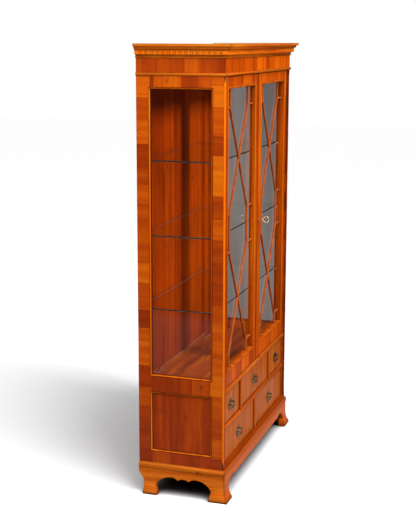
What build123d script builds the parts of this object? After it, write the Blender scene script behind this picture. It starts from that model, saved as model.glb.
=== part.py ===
from build123d import *
import math
import os

# A tall china cabinet in yew: two glazed doors with a lattice of thin bars, glazed sides,
# three glass shelves, five drawers below and a bracket base with swept feet.
# X runs across the width, -Y faces the front and Z is up. The floor is Z = 0, and the
# origin lies under the middle of the overall box. All sizes are in millimetres.

# Carcass and its boards
HEIGHT = 1900.0
CARCASS_WIDTH = 1050.0
CARCASS_DEPTH = 378.0
SIDE_THICKNESS = 20.0
BOARD_THICKNESS = 18.0
BACK_THICKNESS = 6.0
BACK_REBATE = 10.0
RAIL_THICKNESS = 22.0
RAIL_ROUNDING_SHARE = 0.45
DIVIDER_THICKNESS = 16.0
DIVIDER_OFFSET = 240.0
DIVIDER_ROUNDING = 5.0
DECK_SETBACK = 20.0
FRIEZE_THICKNESS = 20.0

# Levels, each stacked on the one below it or hung from the one above it
PLINTH_HEIGHT = 117.0
BASE_MOULDING_HEIGHT = 24.0
FLOOR_LIP = 9.0
LOWER_DRAWER_OPENING = 148.0
UPPER_DRAWER_OPENING = 133.0
WAIST_HEIGHT = 26.0
WAIST_SQUARE = 3.0
FRIEZE_HEIGHT = 69.0
TOP_BOARD_DROP = 32.0
CORNICE_HEIGHT = 57.0

# How far each front lies behind the front edges of the sides
NOSING_SETBACK = 4.0
DIVIDER_SETBACK = 6.0
DOOR_SETBACK = 11.0
DRAWER_SETBACK = 15.0
SHELF_SETBACK = 54.0

# Mouldings, given by how far they stand out from the carcass
CORNICE_PROJECTION = 34.0
CORNICE_RIM = 20.0
CORNICE_FILLET = 11.0
CYMA_RISE = 12.0
CYMA_FOOT = 16.0
CYMA_BOW = 2.1
DENTIL_SEAT = 10.0
DENTIL_DEPTH = 5.5
DENTIL_HEIGHT = 14.0
DENTIL_PITCH = 24.0
DENTIL_RIB = 5.0
DENTIL_KERF = 3.0
DENTIL_KERF_DEPTH = 3.5
CORNICE_COVE = 8.0
CORNICE_COVE_BOW = 2.0
CORNICE_BEAD = 5.0
CORNICE_BEAD_HEIGHT = 7.0
CYMA_LIP = 2.5
NECK_HEIGHT = 13.0
NECK_PROJECTION = 6.0
BASE_PROJECTION = 8.5
BASE_STRAIGHT = 12.0
BASE_TOP_LEDGE = 1.5
BASE_BOW = 1.4
CHAMFER = 6.5
CHAMFER_START = 40.0
CHAMFER_END = 26.0
CHAMFER_TAPER = 20.0

# Bracket base with swept feet
BRACKET_FACE = 6.0
BRACKET_DEPTH = 20.0
FOOT_SWEEP = 21.0
FOOT_SWEEP_HEIGHT = 62.0
FOOT_TOE = 8.0
FOOT_UNDERCUT = 1.0
FOOT_BOW = 3.6
FRONT_FOOT = 61.0
FRONT_ARCH = 114.0
FRONT_CUSP = 163.0
SIDE_FOOT = 73.5
SIDE_ARCH = 129.0
SIDE_CUSP = 165.0
KNEE_IN = 9.0
KNEE_HEIGHT = 42.0
ARCH_HEIGHT = 83.0
CUSP_HEIGHT = 71.0
APRON_HEIGHT = 77.0
APRON_STEP = 12.0
ARCH_BOW = 10.5
CROWN_BOW = 4.8
LOBE_RISE = 9.0
SKIRTING_CUT = 22.0
SKIRTING_HEIGHT = 67.0
SKIRTING_TOP = 103.0
SKIRTING_BOW = 4.2
CORNER_BLOCK = 34.0
CORNER_BLOCK_HEIGHT = 80.0
BACK_RAIL_HEIGHT = 55.0

# Glazed sides
SIDE_STILE = 60.0
SIDE_BOTTOM_RAIL = 58.5
SIDE_PANEL_HEIGHT = 250.0
SIDE_MIDDLE_RAIL = 82.5
SIDE_TOP_RAIL = 53.0
SIDE_REBATE = 6.5
SIDE_PANEL_THICKNESS = 8.0
SIDE_PANEL_SETBACK = 6.0
SIDE_BEAD_RISE = 0.8
SIDE_BEAD_TOP = 1.5
SIDE_BEAD_FOOT = 1.0
SIDE_BEAD_BOW = 1.2
SIDE_GLASS = 5.0
SIDE_GLASS_SETBACK = 6.0
SIDE_GLASS_BEVEL = 32.0
SIDE_GLASS_BEVEL_DEPTH = 2.1
GLASS_CLEARANCE = 0.5

# Doors
DOOR_THICKNESS = 26.0
DOOR_STILE = 50.0
DOOR_TOP_RAIL = 50.0
DOOR_BOTTOM_RAIL = 75.0
DOOR_EDGE_GAP = 1.5
DOOR_MEETING_GAP = 2.5
DOOR_END_GAP = 2.0
DOOR_GLASS = 4.0
DOOR_STOP_WIDTH = 7.0
DOOR_STOP_DEPTH = 4.0
DOOR_BEAD = 9.0
DOOR_BEAD_RISE = 4.0
DOOR_BEAD_SHOULDER = 1.3
LATTICE_WIDTH = 9.0
LATTICE_DEPTH = 9.0
LATTICE_INSET = 70.0
LATTICE_TOP_DROP = 77.0
LATTICE_BOTTOM_RISE = 52.0
LATTICE_MIDDLE = 160.0

# Hinges, three to a door
HINGE_COUNT = 3
HINGE_INSET = 150.0
HINGE_HEIGHT = 60.0
HINGE_LEAF = 20.0
HINGE_LEAF_THICKNESS = 1.5
HINGE_KNUCKLE = 2.6
HINGE_PIN = 1.2
HINGE_AXIS_OFFSET = 3.2
HINGE_WEB = 1.2
HINGE_PLAY = 0.3

# Lock, key and door bolt
KEY_BACKSET = 20.0
KEY_SHANK = 2.4
KEY_REACH = 23.0
KEY_BOW = 13.3
KEY_BOW_WIRE = 2.2
KEY_COLLAR = 3.6
KEY_COLLAR_LENGTH = 3.0
KEY_BIT_THICKNESS = 2.0
KEY_BIT_LENGTH = 5.5
KEY_BIT_REACH = 8.0
KEY_PLAY = 0.8
ESCUTCHEON = 8.0
ESCUTCHEON_THICKNESS = 1.0
LOCK_WIDTH = 38.0
LOCK_HEIGHT = 56.0
LOCK_DEPTH = 11.0
LOCK_WALL = 1.5
LOCK_EDGE = 2.0
LOCK_BOLT_LENGTH = 26.0
LOCK_BOLT_HEIGHT = 12.0
LOCK_BOLT_THICKNESS = 3.5
LOCK_BOLT_RISE = 5.0
LOCK_PLAY = 0.4
BOLT_ROD = 2.7
BOLT_LENGTH = 82.0
BOLT_PLATE_LENGTH = 62.0
BOLT_PLATE_WIDTH = 16.0
BOLT_PLATE_THICKNESS = 1.5
BOLT_STANDOFF = 4.5
BOLT_GUIDE = 8.0
BOLT_EDGE = 15.0
BOLT_RISE = 3.0
BOLT_PLATE_RISE = 12.0
BOLT_KNOB = 3.0
BOLT_KNOB_LENGTH = 8.0
BOLT_KNOB_RISE = 48.0
BOLT_PLAY = 0.4

# Glass shelves on brass pins
SHELF_COUNT = 3
SHELF_FIRST_RISE = 335.0
SHELF_SPACING = 310.0
SHELF_THICKNESS = 6.0
SHELF_SIDE_GAP = 2.0
SHELF_BACK_GAP = 4.0
PIN_SETBACK = 52.0
PIN_RADIUS = 2.5
PIN_DEPTH = 7.0
PIN_TONGUE = 13.0
PIN_TONGUE_WIDTH = 12.0
PIN_TONGUE_THICKNESS = 5.0
PIN_PLAY = 0.1

# Drawers
DRAWER_GAP = 1.5
DRAWER_FRONT = 20.0
DRAWER_EDGE_EASING = 1.5
DRAWER_WALL = 11.0
DRAWER_BOTTOM = 6.0
DRAWER_BOTTOM_RISE = 8.0
DRAWER_TOP_DROP = 20.0
DRAWER_BACK_GAP = 14.0
DRAWER_RUN_GAP = 0.5

# Drawer pulls: oval plate, two posts with ball heads and a swinging bail that swells in the middle
PLATE_WIDTH = 68.0
PLATE_HEIGHT = 46.0
PLATE_THICKNESS = 1.2
PLATE_RIM = 3.0
PLATE_RIM_HEIGHT = 1.0
PLATE_FIELD_MARGIN = 9.0
PLATE_FIELD_HEIGHT = 1.6
PLATE_FIELD_SLOPE = 2.0
POST_OFFSET = 24.0
POST_RISE = 4.0
POST_RADIUS = 3.0
POST_LENGTH = 9.0
POST_BALL = 4.2
POST_BALL_LATITUDE = 45.0
BAIL_WIRE = 1.8
BAIL_BELLY = 2.5
BAIL_PLAY = 0.4
BAIL_CORNER = 2.4
BAIL_SHOULDER = 15.0
BAIL_SHOULDER_TURN = 60.0

# Facets of the small round pieces, kept few because the pieces repeat
ROD_SIDES = 8
TUBE_SIDES = 6
OVAL_SIDES = 16
NOSE_SIDES = 5
TUBE_STEP = 18.0

# Places worked out from the sizes above
HALF_WIDTH = CARCASS_WIDTH / 2
INNER_HALF = HALF_WIDTH - SIDE_THICKNESS
KEY_LENGTH = KEY_REACH + 2 * KEY_BOW + KEY_BOW_WIRE
FRONT_REACH = max(CORNICE_PROJECTION, KEY_LENGTH - DOOR_SETBACK)
Y_BACK = (CARCASS_DEPTH + FRONT_REACH) / 2
Y_FRONT = Y_BACK - CARCASS_DEPTH
Y_MIDDLE = (Y_FRONT + Y_BACK) / 2
Y_BOARD_BACK = Y_BACK - BACK_THICKNESS
BASE_TOP = PLINTH_HEIGHT + BASE_MOULDING_HEIGHT
DRAWER_FLOOR = BASE_TOP + FLOOR_LIP
RAIL_BOTTOM = DRAWER_FLOOR + LOWER_DRAWER_OPENING
RAIL_TOP = RAIL_BOTTOM + RAIL_THICKNESS
WAIST_BOTTOM = RAIL_TOP + UPPER_DRAWER_OPENING
WAIST_TOP = WAIST_BOTTOM + WAIST_HEIGHT
CORNICE_BOTTOM = HEIGHT - CORNICE_HEIGHT
FRIEZE_BOTTOM = CORNICE_BOTTOM - FRIEZE_HEIGHT
TOP_BOARD_TOP = HEIGHT - TOP_BOARD_DROP
CARCASS_TOP = TOP_BOARD_TOP - BOARD_THICKNESS

PANEL_BOTTOM = BASE_TOP + SIDE_BOTTOM_RAIL
PANEL_TOP = PANEL_BOTTOM + SIDE_PANEL_HEIGHT
WINDOW_BOTTOM = PANEL_TOP + SIDE_MIDDLE_RAIL
WINDOW_TOP = FRIEZE_BOTTOM - SIDE_TOP_RAIL
GLASS_REACH = SIDE_REBATE - GLASS_CLEARANCE
GLASS_EDGE_SETBACK = SIDE_GLASS_SETBACK + SIDE_GLASS_BEVEL_DEPTH * (1 - GLASS_REACH / SIDE_GLASS_BEVEL)
WINDOW_FRONT = Y_FRONT + SIDE_STILE
WINDOW_BACK = Y_BACK - SIDE_STILE

DOOR_FACE = Y_FRONT + DOOR_SETBACK
DOOR_BACK = DOOR_FACE + DOOR_THICKNESS
DOOR_OUTER = -INNER_HALF + DOOR_EDGE_GAP
DOOR_MEETING = -DOOR_MEETING_GAP / 2
DOOR_BOTTOM = WAIST_TOP + DOOR_END_GAP
DOOR_TOP = FRIEZE_BOTTOM - DOOR_END_GAP
SIGHT_OUTER = DOOR_OUTER + DOOR_STILE
SIGHT_MEETING = DOOR_MEETING - DOOR_STILE
SIGHT_BOTTOM = DOOR_BOTTOM + DOOR_BOTTOM_RAIL
SIGHT_TOP = DOOR_TOP - DOOR_TOP_RAIL
SIGHT_MIDDLE_X = (SIGHT_OUTER + SIGHT_MEETING) / 2
SIGHT_MIDDLE_Z = (SIGHT_BOTTOM + SIGHT_TOP) / 2
GLASS_BACK = DOOR_BACK - DOOR_STOP_DEPTH
GLASS_FRONT = GLASS_BACK - DOOR_GLASS
LATTICE_HIGH = SIGHT_TOP - LATTICE_TOP_DROP
LATTICE_LOW = SIGHT_BOTTOM + LATTICE_BOTTOM_RISE
LATTICE_CENTRE = (LATTICE_HIGH + LATTICE_LOW) / 2

HINGE_X = -INNER_HALF + HINGE_AXIS_OFFSET
HINGE_Y = DOOR_FACE - HINGE_AXIS_OFFSET
HINGE_LOW = DOOR_BOTTOM + HINGE_INSET
HINGE_STEP = (DOOR_TOP - HINGE_INSET - HINGE_LOW) / (HINGE_COUNT - 1)
HINGE_LEVELS = [HINGE_LOW + HINGE_STEP * i for i in range(HINGE_COUNT)]

KEY_X = -DOOR_MEETING + KEY_BACKSET
KEY_Z = LATTICE_CENTRE
BOLT_X = DOOR_MEETING - BOLT_EDGE
BOLT_Y = DOOR_BACK + BOLT_PLATE_THICKNESS + BOLT_STANDOFF
SHELF_TOPS = [WAIST_TOP + SHELF_FIRST_RISE + SHELF_SPACING * i for i in range(SHELF_COUNT)]
DRAWER_FACE = Y_FRONT + DRAWER_SETBACK


def block(x, y, z):
    """A box between the low and high ends given along each axis."""
    spans = [sorted(span) for span in (x, y, z)]
    middle = [(low + high) / 2 for low, high in spans]
    return Pos(*middle) * Box(*[high - low for low, high in spans])


def rod(start, end, radius):
    """A round rod between two points."""
    start = Vector(*start)
    along = Vector(*end) - start
    return extrude(Plane(start, z_dir=along) * Circle(radius), along.length)


def faceted_rod(start, end, radius):
    """A rod with flat sides between two points, for small pieces and their holes."""
    start = Vector(*start)
    along = Vector(*end) - start
    return extrude(Plane(start, z_dir=along) * RegularPolygon(radius, ROD_SIDES), along.length)


def arc_places(centre, radius, start, end):
    """Points along an arc in XY from one angle to another in even steps, each with the way out of the arc."""
    steps = math.ceil(abs(end - start) / TUBE_STEP)
    places = []
    for step in range(steps + 1):
        angle = math.radians(start + (end - start) * step / steps)
        outward = Vector(math.cos(angle), math.sin(angle))
        places.append((Vector(*centre) + outward * radius, outward))
    return places


def turns(count):
    """Even steps round a full turn."""
    return [2 * math.pi * step / count for step in range(count)]


def tube_ring(place, outward, radius):
    """The corners of a tube's section that stands square on XY."""
    up = Vector(0, 0, 1)
    ring = turns(TUBE_SIDES)
    return [place + (up * math.cos(turn) + outward * math.sin(turn)) * radius for turn in ring]


def faceted_solid(rings, endless=False):
    """A solid of flat facets from ring to ring, closed by its end rings unless it runs into itself."""
    faces = [] if endless else [polygon(rings[0]), polygon(rings[-1])]
    for near, far in zip(rings, rings[1:]):
        for side in range(len(near)):
            faces.append(polygon([near[side - 1], near[side], far[side]]))
            faces.append(polygon([near[side - 1], far[side], far[side - 1]]))
    return Solid(Shell(faces))


def outline(*edges):
    """A face inside a closed chain of lines and arcs."""
    return make_face(Wire(list(edges)))


def bowed(start, end, bow):
    """An arc that stands off the straight line between two points by the bow, to its left."""
    chord = Vector(end[0] - start[0], end[1] - start[1])
    middle = ((start[0] + end[0]) / 2, (start[1] + end[1]) / 2)
    off = (-chord.Y / chord.length * bow, chord.X / chord.length * bow)
    return ThreePointArc(start, (middle[0] + off[0], middle[1] + off[1]), end)


def polygon(points):
    """A face inside straight lines through the points."""
    return make_face(Polyline(*points, close=True))


def one_node(*pieces):
    """Several separate pieces that share a node."""
    solids = [solid for piece in pieces for solid in piece.solids()]
    return Compound(children=solids)


def mirrored(piece):
    """The same piece on the other side of the cabinet."""
    return mirror(piece, about=Plane.YZ)


def mitre_regions():
    """Prisms that hold the front and the left lengths of a moulding, meeting at 45 degrees."""
    reach = CORNICE_PROJECTION + CORNICE_RIM + BRACKET_DEPTH
    out_x, out_y = -HALF_WIDTH - reach, Y_FRONT - reach
    in_x, in_y = -HALF_WIDTH + reach, Y_FRONT + reach
    front = polygon([(out_x, out_y), (-out_x, out_y), (-in_x, in_y), (in_x, in_y)])
    left = polygon([(out_x, out_y), (in_x, in_y), (in_x, Y_BACK), (out_x, Y_BACK)])
    return extrude(front, HEIGHT), extrude(left, HEIGHT)


FRONT_REGION, LEFT_REGION = mitre_regions()


def mitred_lengths(section):
    """Front, left and right lengths of a section drawn as (outward, up) from the carcass."""
    front_plane = Plane((CARCASS_WIDTH, Y_FRONT, 0), x_dir=(0, -1, 0), z_dir=(-1, 0, 0))
    left_plane = Plane((-HALF_WIDTH, -CARCASS_DEPTH, 0), x_dir=(-1, 0, 0), z_dir=(0, 1, 0))
    front = extrude(front_plane * section, 2 * CARCASS_WIDTH) & FRONT_REGION
    left = extrude(left_plane * section, 2 * CARCASS_DEPTH) & LEFT_REGION
    return front, left, mirrored(left)


def mitred_frame(width, height, section, section_width):
    """Four mitred lengths round a rectangle in XY, with the section drawn as (inward, up)."""
    lengths = []
    for turn in range(4):
        along, across = (width, height) if turn % 2 == 0 else (height, width)
        plane = Plane((-along, -across / 2, 0), x_dir=(0, 1, 0), z_dir=(1, 0, 0))
        bar = extrude(plane * section, 2 * along)
        inner = section_width
        region = polygon([
            (-along / 2, -across / 2),
            (along / 2, -across / 2),
            (along / 2 - inner, -across / 2 + inner),
            (-along / 2 + inner, -across / 2 + inner),
        ])
        trimmed = bar & extrude(region, along, both=True)
        lengths.append(Rot(0, 0, 90 * turn) * trimmed)
    return one_node(*lengths)


def door_bead():
    """A bead's section on a door: flat below, with a rounded top."""
    shoulder = DOOR_BEAD_SHOULDER
    return outline(
        Line((0, 0), (DOOR_BEAD, 0)),
        Line((DOOR_BEAD, 0), (DOOR_BEAD, shoulder)),
        ThreePointArc((DOOR_BEAD, shoulder), (DOOR_BEAD / 2, DOOR_BEAD_RISE), (0, shoulder)),
        Line((0, shoulder), (0, 0)),
    )


def side_bead(depth):
    """A bead's section in the rebate of a side: level outside, rounded down to a pane or panel at a depth."""
    top = (SIDE_BEAD_TOP, SIDE_BEAD_RISE)
    foot = (SIDE_REBATE, SIDE_BEAD_FOOT - depth)
    return outline(
        Line((0, -depth), (SIDE_REBATE, -depth)),
        Line((SIDE_REBATE, -depth), foot),
        bowed(foot, top, -SIDE_BEAD_BOW),
        Line(top, (0, SIDE_BEAD_RISE)),
        Line((0, SIDE_BEAD_RISE), (0, -depth)),
    )


def side_plane(low, high):
    """Outer face of the left side, centred between two heights, with its normal outwards."""
    return Plane((-HALF_WIDTH, Y_MIDDLE, (low + high) / 2), x_dir=(0, -1, 0), z_dir=(-1, 0, 0))


def door_plane(y):
    """A plane across the left door's glass at a depth, with its normal to the front."""
    return Plane((SIGHT_MIDDLE_X, y, SIGHT_MIDDLE_Z), x_dir=(1, 0, 0), z_dir=(0, -1, 0))


# Mouldings that run round the front and both sides


def cornice_section():
    """Bead, cove, seat for the dentils, cyma and top fillet, over a rim that holds it."""
    bead_top = CORNICE_BOTTOM + CORNICE_BEAD_HEIGHT
    cove_top = bead_top + CORNICE_COVE
    seat_top = cove_top + DENTIL_HEIGHT
    cyma_foot = HEIGHT - CORNICE_FILLET - CYMA_RISE
    fillet_foot = HEIGHT - CORNICE_FILLET
    cyma_reach = CORNICE_PROJECTION - CYMA_LIP
    middle = ((CYMA_FOOT + cyma_reach) / 2, (cyma_foot + fillet_foot) / 2)
    return outline(
        Line((0, CORNICE_BOTTOM), (CORNICE_BEAD / 2, CORNICE_BOTTOM)),
        ThreePointArc(
            (CORNICE_BEAD / 2, CORNICE_BOTTOM),
            (CORNICE_BEAD, (CORNICE_BOTTOM + bead_top) / 2),
            (CORNICE_BEAD / 2, bead_top),
        ),
        bowed((CORNICE_BEAD / 2, bead_top), (DENTIL_SEAT, cove_top), CORNICE_COVE_BOW),
        Line((DENTIL_SEAT, cove_top), (DENTIL_SEAT, seat_top)),
        Line((DENTIL_SEAT, seat_top), (CYMA_FOOT, seat_top)),
        Line((CYMA_FOOT, seat_top), (CYMA_FOOT, cyma_foot)),
        bowed((CYMA_FOOT, cyma_foot), middle, -CYMA_BOW),
        bowed(middle, (cyma_reach, fillet_foot), CYMA_BOW),
        Line((cyma_reach, fillet_foot), (CORNICE_PROJECTION, fillet_foot)),
        Line((CORNICE_PROJECTION, fillet_foot), (CORNICE_PROJECTION, HEIGHT)),
        Line((CORNICE_PROJECTION, HEIGHT), (-CORNICE_RIM, HEIGHT)),
        Line((-CORNICE_RIM, HEIGHT), (-CORNICE_RIM, TOP_BOARD_TOP)),
        Line((-CORNICE_RIM, TOP_BOARD_TOP), (0, TOP_BOARD_TOP)),
        Line((0, TOP_BOARD_TOP), (0, CORNICE_BOTTOM)),
    )


def dentil_strip(length):
    """A strip along X, back at Y = 0 and face at -Y, cut by pairs of saw kerfs at each pitch."""
    half = length / 2
    face, floor = -DENTIL_DEPTH, -DENTIL_DEPTH + DENTIL_KERF_DEPTH
    offset = (DENTIL_RIB + DENTIL_KERF) / 2
    count = int((half - offset - DENTIL_KERF) // DENTIL_PITCH)
    points = [(-half, 0), (-half, face)]
    for pitch in range(-count, count + 1):
        for centre in (pitch * DENTIL_PITCH - offset, pitch * DENTIL_PITCH + offset):
            low, high = centre - DENTIL_KERF / 2, centre + DENTIL_KERF / 2
            points += [(low, face), (low, floor), (high, floor), (high, face)]
    points += [(half, face), (half, 0)]
    return extrude(polygon(points), DENTIL_HEIGHT)


def dentil_band():
    """A strip on the front and one on each side, set in the seat of the cornice."""
    level = CORNICE_BOTTOM + CORNICE_BEAD_HEIGHT + CORNICE_COVE
    front_length = CARCASS_WIDTH + 2 * (DENTIL_SEAT + DENTIL_DEPTH)
    front = Pos(0, Y_FRONT - DENTIL_SEAT, level) * dentil_strip(front_length)
    side_length = CARCASS_DEPTH + DENTIL_SEAT
    side_place = Pos(-HALF_WIDTH - DENTIL_SEAT, Y_BACK - side_length / 2, level)
    left = side_place * Rot(0, 0, -90) * dentil_strip(side_length)
    return one_node(front, left, mirrored(left))


def neck_section():
    """A half-round moulding along the lower edge of the frieze."""
    top = FRIEZE_BOTTOM + NECK_HEIGHT
    middle = (NECK_PROJECTION, FRIEZE_BOTTOM + NECK_HEIGHT / 2)
    return outline(
        ThreePointArc((0, FRIEZE_BOTTOM), middle, (0, top)),
        Line((0, top), (0, FRIEZE_BOTTOM)),
    )


def base_section():
    """A straight lower edge with a rounded shoulder above it."""
    shoulder = PLINTH_HEIGHT + BASE_STRAIGHT
    return outline(
        Line((0, PLINTH_HEIGHT), (BASE_PROJECTION, PLINTH_HEIGHT)),
        Line((BASE_PROJECTION, PLINTH_HEIGHT), (BASE_PROJECTION, shoulder)),
        bowed((BASE_PROJECTION, shoulder), (BASE_TOP_LEDGE, BASE_TOP), -BASE_BOW),
        Line((BASE_TOP_LEDGE, BASE_TOP), (0, BASE_TOP)),
        Line((0, BASE_TOP), (0, PLINTH_HEIGHT)),
    )


# Bracket base


def bracket_section():
    """A board whose face sweeps out to the toe of the foot."""
    back = BRACKET_FACE - BRACKET_DEPTH
    return outline(
        Line((back, 0), (FOOT_SWEEP - FOOT_UNDERCUT, 0)),
        Line((FOOT_SWEEP - FOOT_UNDERCUT, 0), (FOOT_SWEEP, FOOT_TOE)),
        bowed((FOOT_SWEEP, FOOT_TOE), (BRACKET_FACE, FOOT_SWEEP_HEIGHT), FOOT_BOW),
        Line((BRACKET_FACE, FOOT_SWEEP_HEIGHT), (BRACKET_FACE, PLINTH_HEIGHT)),
        Line((BRACKET_FACE, PLINTH_HEIGHT), (back, PLINTH_HEIGHT)),
        Line((back, PLINTH_HEIGHT), (back, 0)),
    )


def arch_half(foot, arch, cusp, hand):
    """Edges from the inner toe of a foot over its arch to the cusp, on one hand of the middle."""
    knee = foot + KNEE_IN
    return [
        Line((hand * foot, 0), (hand * knee, KNEE_HEIGHT)),
        bowed((hand * knee, KNEE_HEIGHT), (hand * arch, ARCH_HEIGHT), -hand * ARCH_BOW),
        bowed((hand * arch, ARCH_HEIGHT), (hand * cusp, CUSP_HEIGHT), -hand * CROWN_BOW),
    ]


def apron_face(half_length, foot, arch, cusp, flat):
    """The opening under an apron: two arches, and between the cusps a flat edge or a low lobe."""
    foot, arch, cusp = half_length - foot, half_length - arch, half_length - cusp
    right = arch_half(foot, arch, cusp, 1)
    left = arch_half(foot, arch, cusp, -1)
    if flat:
        inner = cusp - APRON_STEP
        middle = [
            Line((cusp, CUSP_HEIGHT), (inner, APRON_HEIGHT)),
            Line((inner, APRON_HEIGHT), (-inner, APRON_HEIGHT)),
            Line((-inner, APRON_HEIGHT), (-cusp, CUSP_HEIGHT)),
        ]
    else:
        middle = [bowed((cusp, CUSP_HEIGHT), (-cusp, CUSP_HEIGHT), -LOBE_RISE)]
    return outline(*right, *middle, *left, Line((-foot, 0), (foot, 0)))


def brackets():
    """Front bracket and the two side brackets, with their openings cut out."""
    front, left, _ = mitred_lengths(bracket_section())
    reach = CARCASS_DEPTH
    front_plane = Plane((0, -reach, 0), x_dir=(1, 0, 0), z_dir=(0, -1, 0))
    front_face = apron_face(HALF_WIDTH, FRONT_FOOT, FRONT_ARCH, FRONT_CUSP, True)
    front -= extrude(front_plane * front_face, -2 * reach)
    side_middle = Y_MIDDLE - SKIRTING_CUT / 2
    left_plane = Plane((-CARCASS_WIDTH, side_middle, 0), x_dir=(0, -1, 0), z_dir=(-1, 0, 0))
    left_face = apron_face(CARCASS_DEPTH / 2, SIDE_FOOT, SIDE_ARCH, SIDE_CUSP, False)
    left -= extrude(left_plane * left_face, -CARCASS_WIDTH)
    cut_front = Y_BACK - SKIRTING_CUT
    cut = outline(
        Line((Y_BACK, 0), (cut_front, 0)),
        Line((cut_front, 0), (cut_front, SKIRTING_HEIGHT)),
        bowed((cut_front, SKIRTING_HEIGHT), (Y_BACK, SKIRTING_TOP), -SKIRTING_BOW),
        Line((Y_BACK, SKIRTING_TOP), (Y_BACK, 0)),
    )
    cut_plane = Plane((-CARCASS_WIDTH, 0, 0), x_dir=(0, 1, 0), z_dir=(1, 0, 0))
    left -= extrude(cut_plane * cut, CARCASS_WIDTH)
    return front, left, mirrored(left)


def plinth_blocks():
    """Corner blocks glued inside the feet, and a rail between the side brackets at the back."""
    inner_x = -HALF_WIDTH - BRACKET_FACE + BRACKET_DEPTH
    inner_y = Y_FRONT - BRACKET_FACE + BRACKET_DEPTH
    back_y = Y_BACK - SKIRTING_CUT
    low = PLINTH_HEIGHT - CORNER_BLOCK_HEIGHT
    front_corner = polygon([
        (inner_x, inner_y),
        (inner_x + CORNER_BLOCK, inner_y),
        (inner_x, inner_y + CORNER_BLOCK),
    ])
    rail_front = back_y - BOARD_THICKNESS
    back_corner = polygon([
        (inner_x, rail_front),
        (inner_x + CORNER_BLOCK, rail_front),
        (inner_x, rail_front - CORNER_BLOCK),
    ])
    front_block = Pos(0, 0, low) * extrude(front_corner, CORNER_BLOCK_HEIGHT)
    back_block = Pos(0, 0, low) * extrude(back_corner, CORNER_BLOCK_HEIGHT)
    rail_low = PLINTH_HEIGHT - BACK_RAIL_HEIGHT
    rail = block((inner_x, -inner_x), (rail_front, back_y), (rail_low, PLINTH_HEIGHT))
    return one_node(front_block, back_block, mirrored(front_block), mirrored(back_block), rail)


# Carcass


def frieze_rail():
    """The board over the doors, mitred to the sides."""
    depth = (Y_FRONT, Y_FRONT + FRIEZE_THICKNESS)
    return block((-HALF_WIDTH, HALF_WIDTH), depth, (FRIEZE_BOTTOM, CARCASS_TOP)) & FRONT_REGION


def corner_chamfer():
    """The cutter for the chamfer on a front corner, which runs out in a taper at both ends."""
    low = BASE_TOP + CHAMFER_START
    high = FRIEZE_BOTTOM - CHAMFER_END
    depth = CHAMFER / math.sqrt(2)
    clear = 4 * CHAMFER
    face = polygon([
        (clear, low - CHAMFER_TAPER),
        (0, low - CHAMFER_TAPER),
        (-depth, low),
        (-depth, high),
        (0, high + CHAMFER_TAPER),
        (clear, high + CHAMFER_TAPER),
    ])
    outward = Plane((-HALF_WIDTH, Y_FRONT, 0), x_dir=(-1, -1, 0), z_dir=(-1, 1, 0))
    return extrude(outward * face, clear, both=True)


def hinge_mortise(inner, outer):
    """Cutters for the hinge leaves between two X positions."""
    half = HINGE_HEIGHT / 2
    depth = (HINGE_Y, DOOR_FACE + HINGE_LEAF)
    return [block((inner, outer), depth, (level - half, level + half)) for level in HINGE_LEVELS]


def pin_places():
    """Where the shelf pins enter the left side: depth and height of each."""
    depths = (Y_FRONT + PIN_SETBACK, Y_BACK - PIN_SETBACK)
    drop = SHELF_THICKNESS + PIN_TONGUE_THICKNESS / 2
    return [(y, top - drop) for top in SHELF_TOPS for y in depths]


def side_frame():
    """Left side: two stiles and three rails, rebated outside for the pane and the lower panel."""
    outer, inner = -HALF_WIDTH, -INNER_HALF
    x = (outer, inner)
    window = (WINDOW_FRONT, WINDOW_BACK)
    front_stile = block(x, (Y_FRONT, WINDOW_FRONT), (PLINTH_HEIGHT, CARCASS_TOP))
    front_stile -= frieze_rail()
    front_stile -= corner_chamfer()
    rear_stile = block(x, (WINDOW_BACK, Y_BACK), (PLINTH_HEIGHT, CARCASS_TOP))
    rear_stile -= block((inner - BACK_REBATE, inner), (Y_BOARD_BACK, Y_BACK), (PLINTH_HEIGHT, CARCASS_TOP))
    top_rail = block(x, window, (WINDOW_TOP, CARCASS_TOP))
    middle_rail = block(x, window, (PANEL_TOP, WINDOW_BOTTOM))
    bottom_rail = block(x, window, (PLINTH_HEIGHT, PANEL_BOTTOM))
    rebate_y = (WINDOW_FRONT - SIDE_REBATE, WINDOW_BACK + SIDE_REBATE)
    glass_z = (WINDOW_BOTTOM - SIDE_REBATE, WINDOW_TOP + SIDE_REBATE)
    panel_z = (PANEL_BOTTOM - SIDE_REBATE, PANEL_TOP + SIDE_REBATE)
    panel_outer = outer + SIDE_PANEL_SETBACK
    panel_inner = panel_outer + SIDE_PANEL_THICKNESS
    panel = block((panel_outer, panel_inner), rebate_y, panel_z)
    glass_rebate = block((outer, outer + SIDE_GLASS_SETBACK + SIDE_GLASS), rebate_y, glass_z)
    panel_rebate = block((outer, panel_inner), rebate_y, panel_z)
    for mortise in hinge_mortise(inner - HINGE_LEAF_THICKNESS, inner):
        front_stile -= mortise
    for y, z in pin_places():
        hole = faceted_rod((inner - PIN_DEPTH, y, z), (inner, y, z), PIN_RADIUS + PIN_PLAY)
        if y < Y_MIDDLE:
            front_stile -= hole
        else:
            rear_stile -= hole
    pieces = (front_stile, rear_stile, top_rail, middle_rail, bottom_rail)
    return one_node(*[piece - glass_rebate - panel_rebate for piece in pieces], panel)


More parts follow.
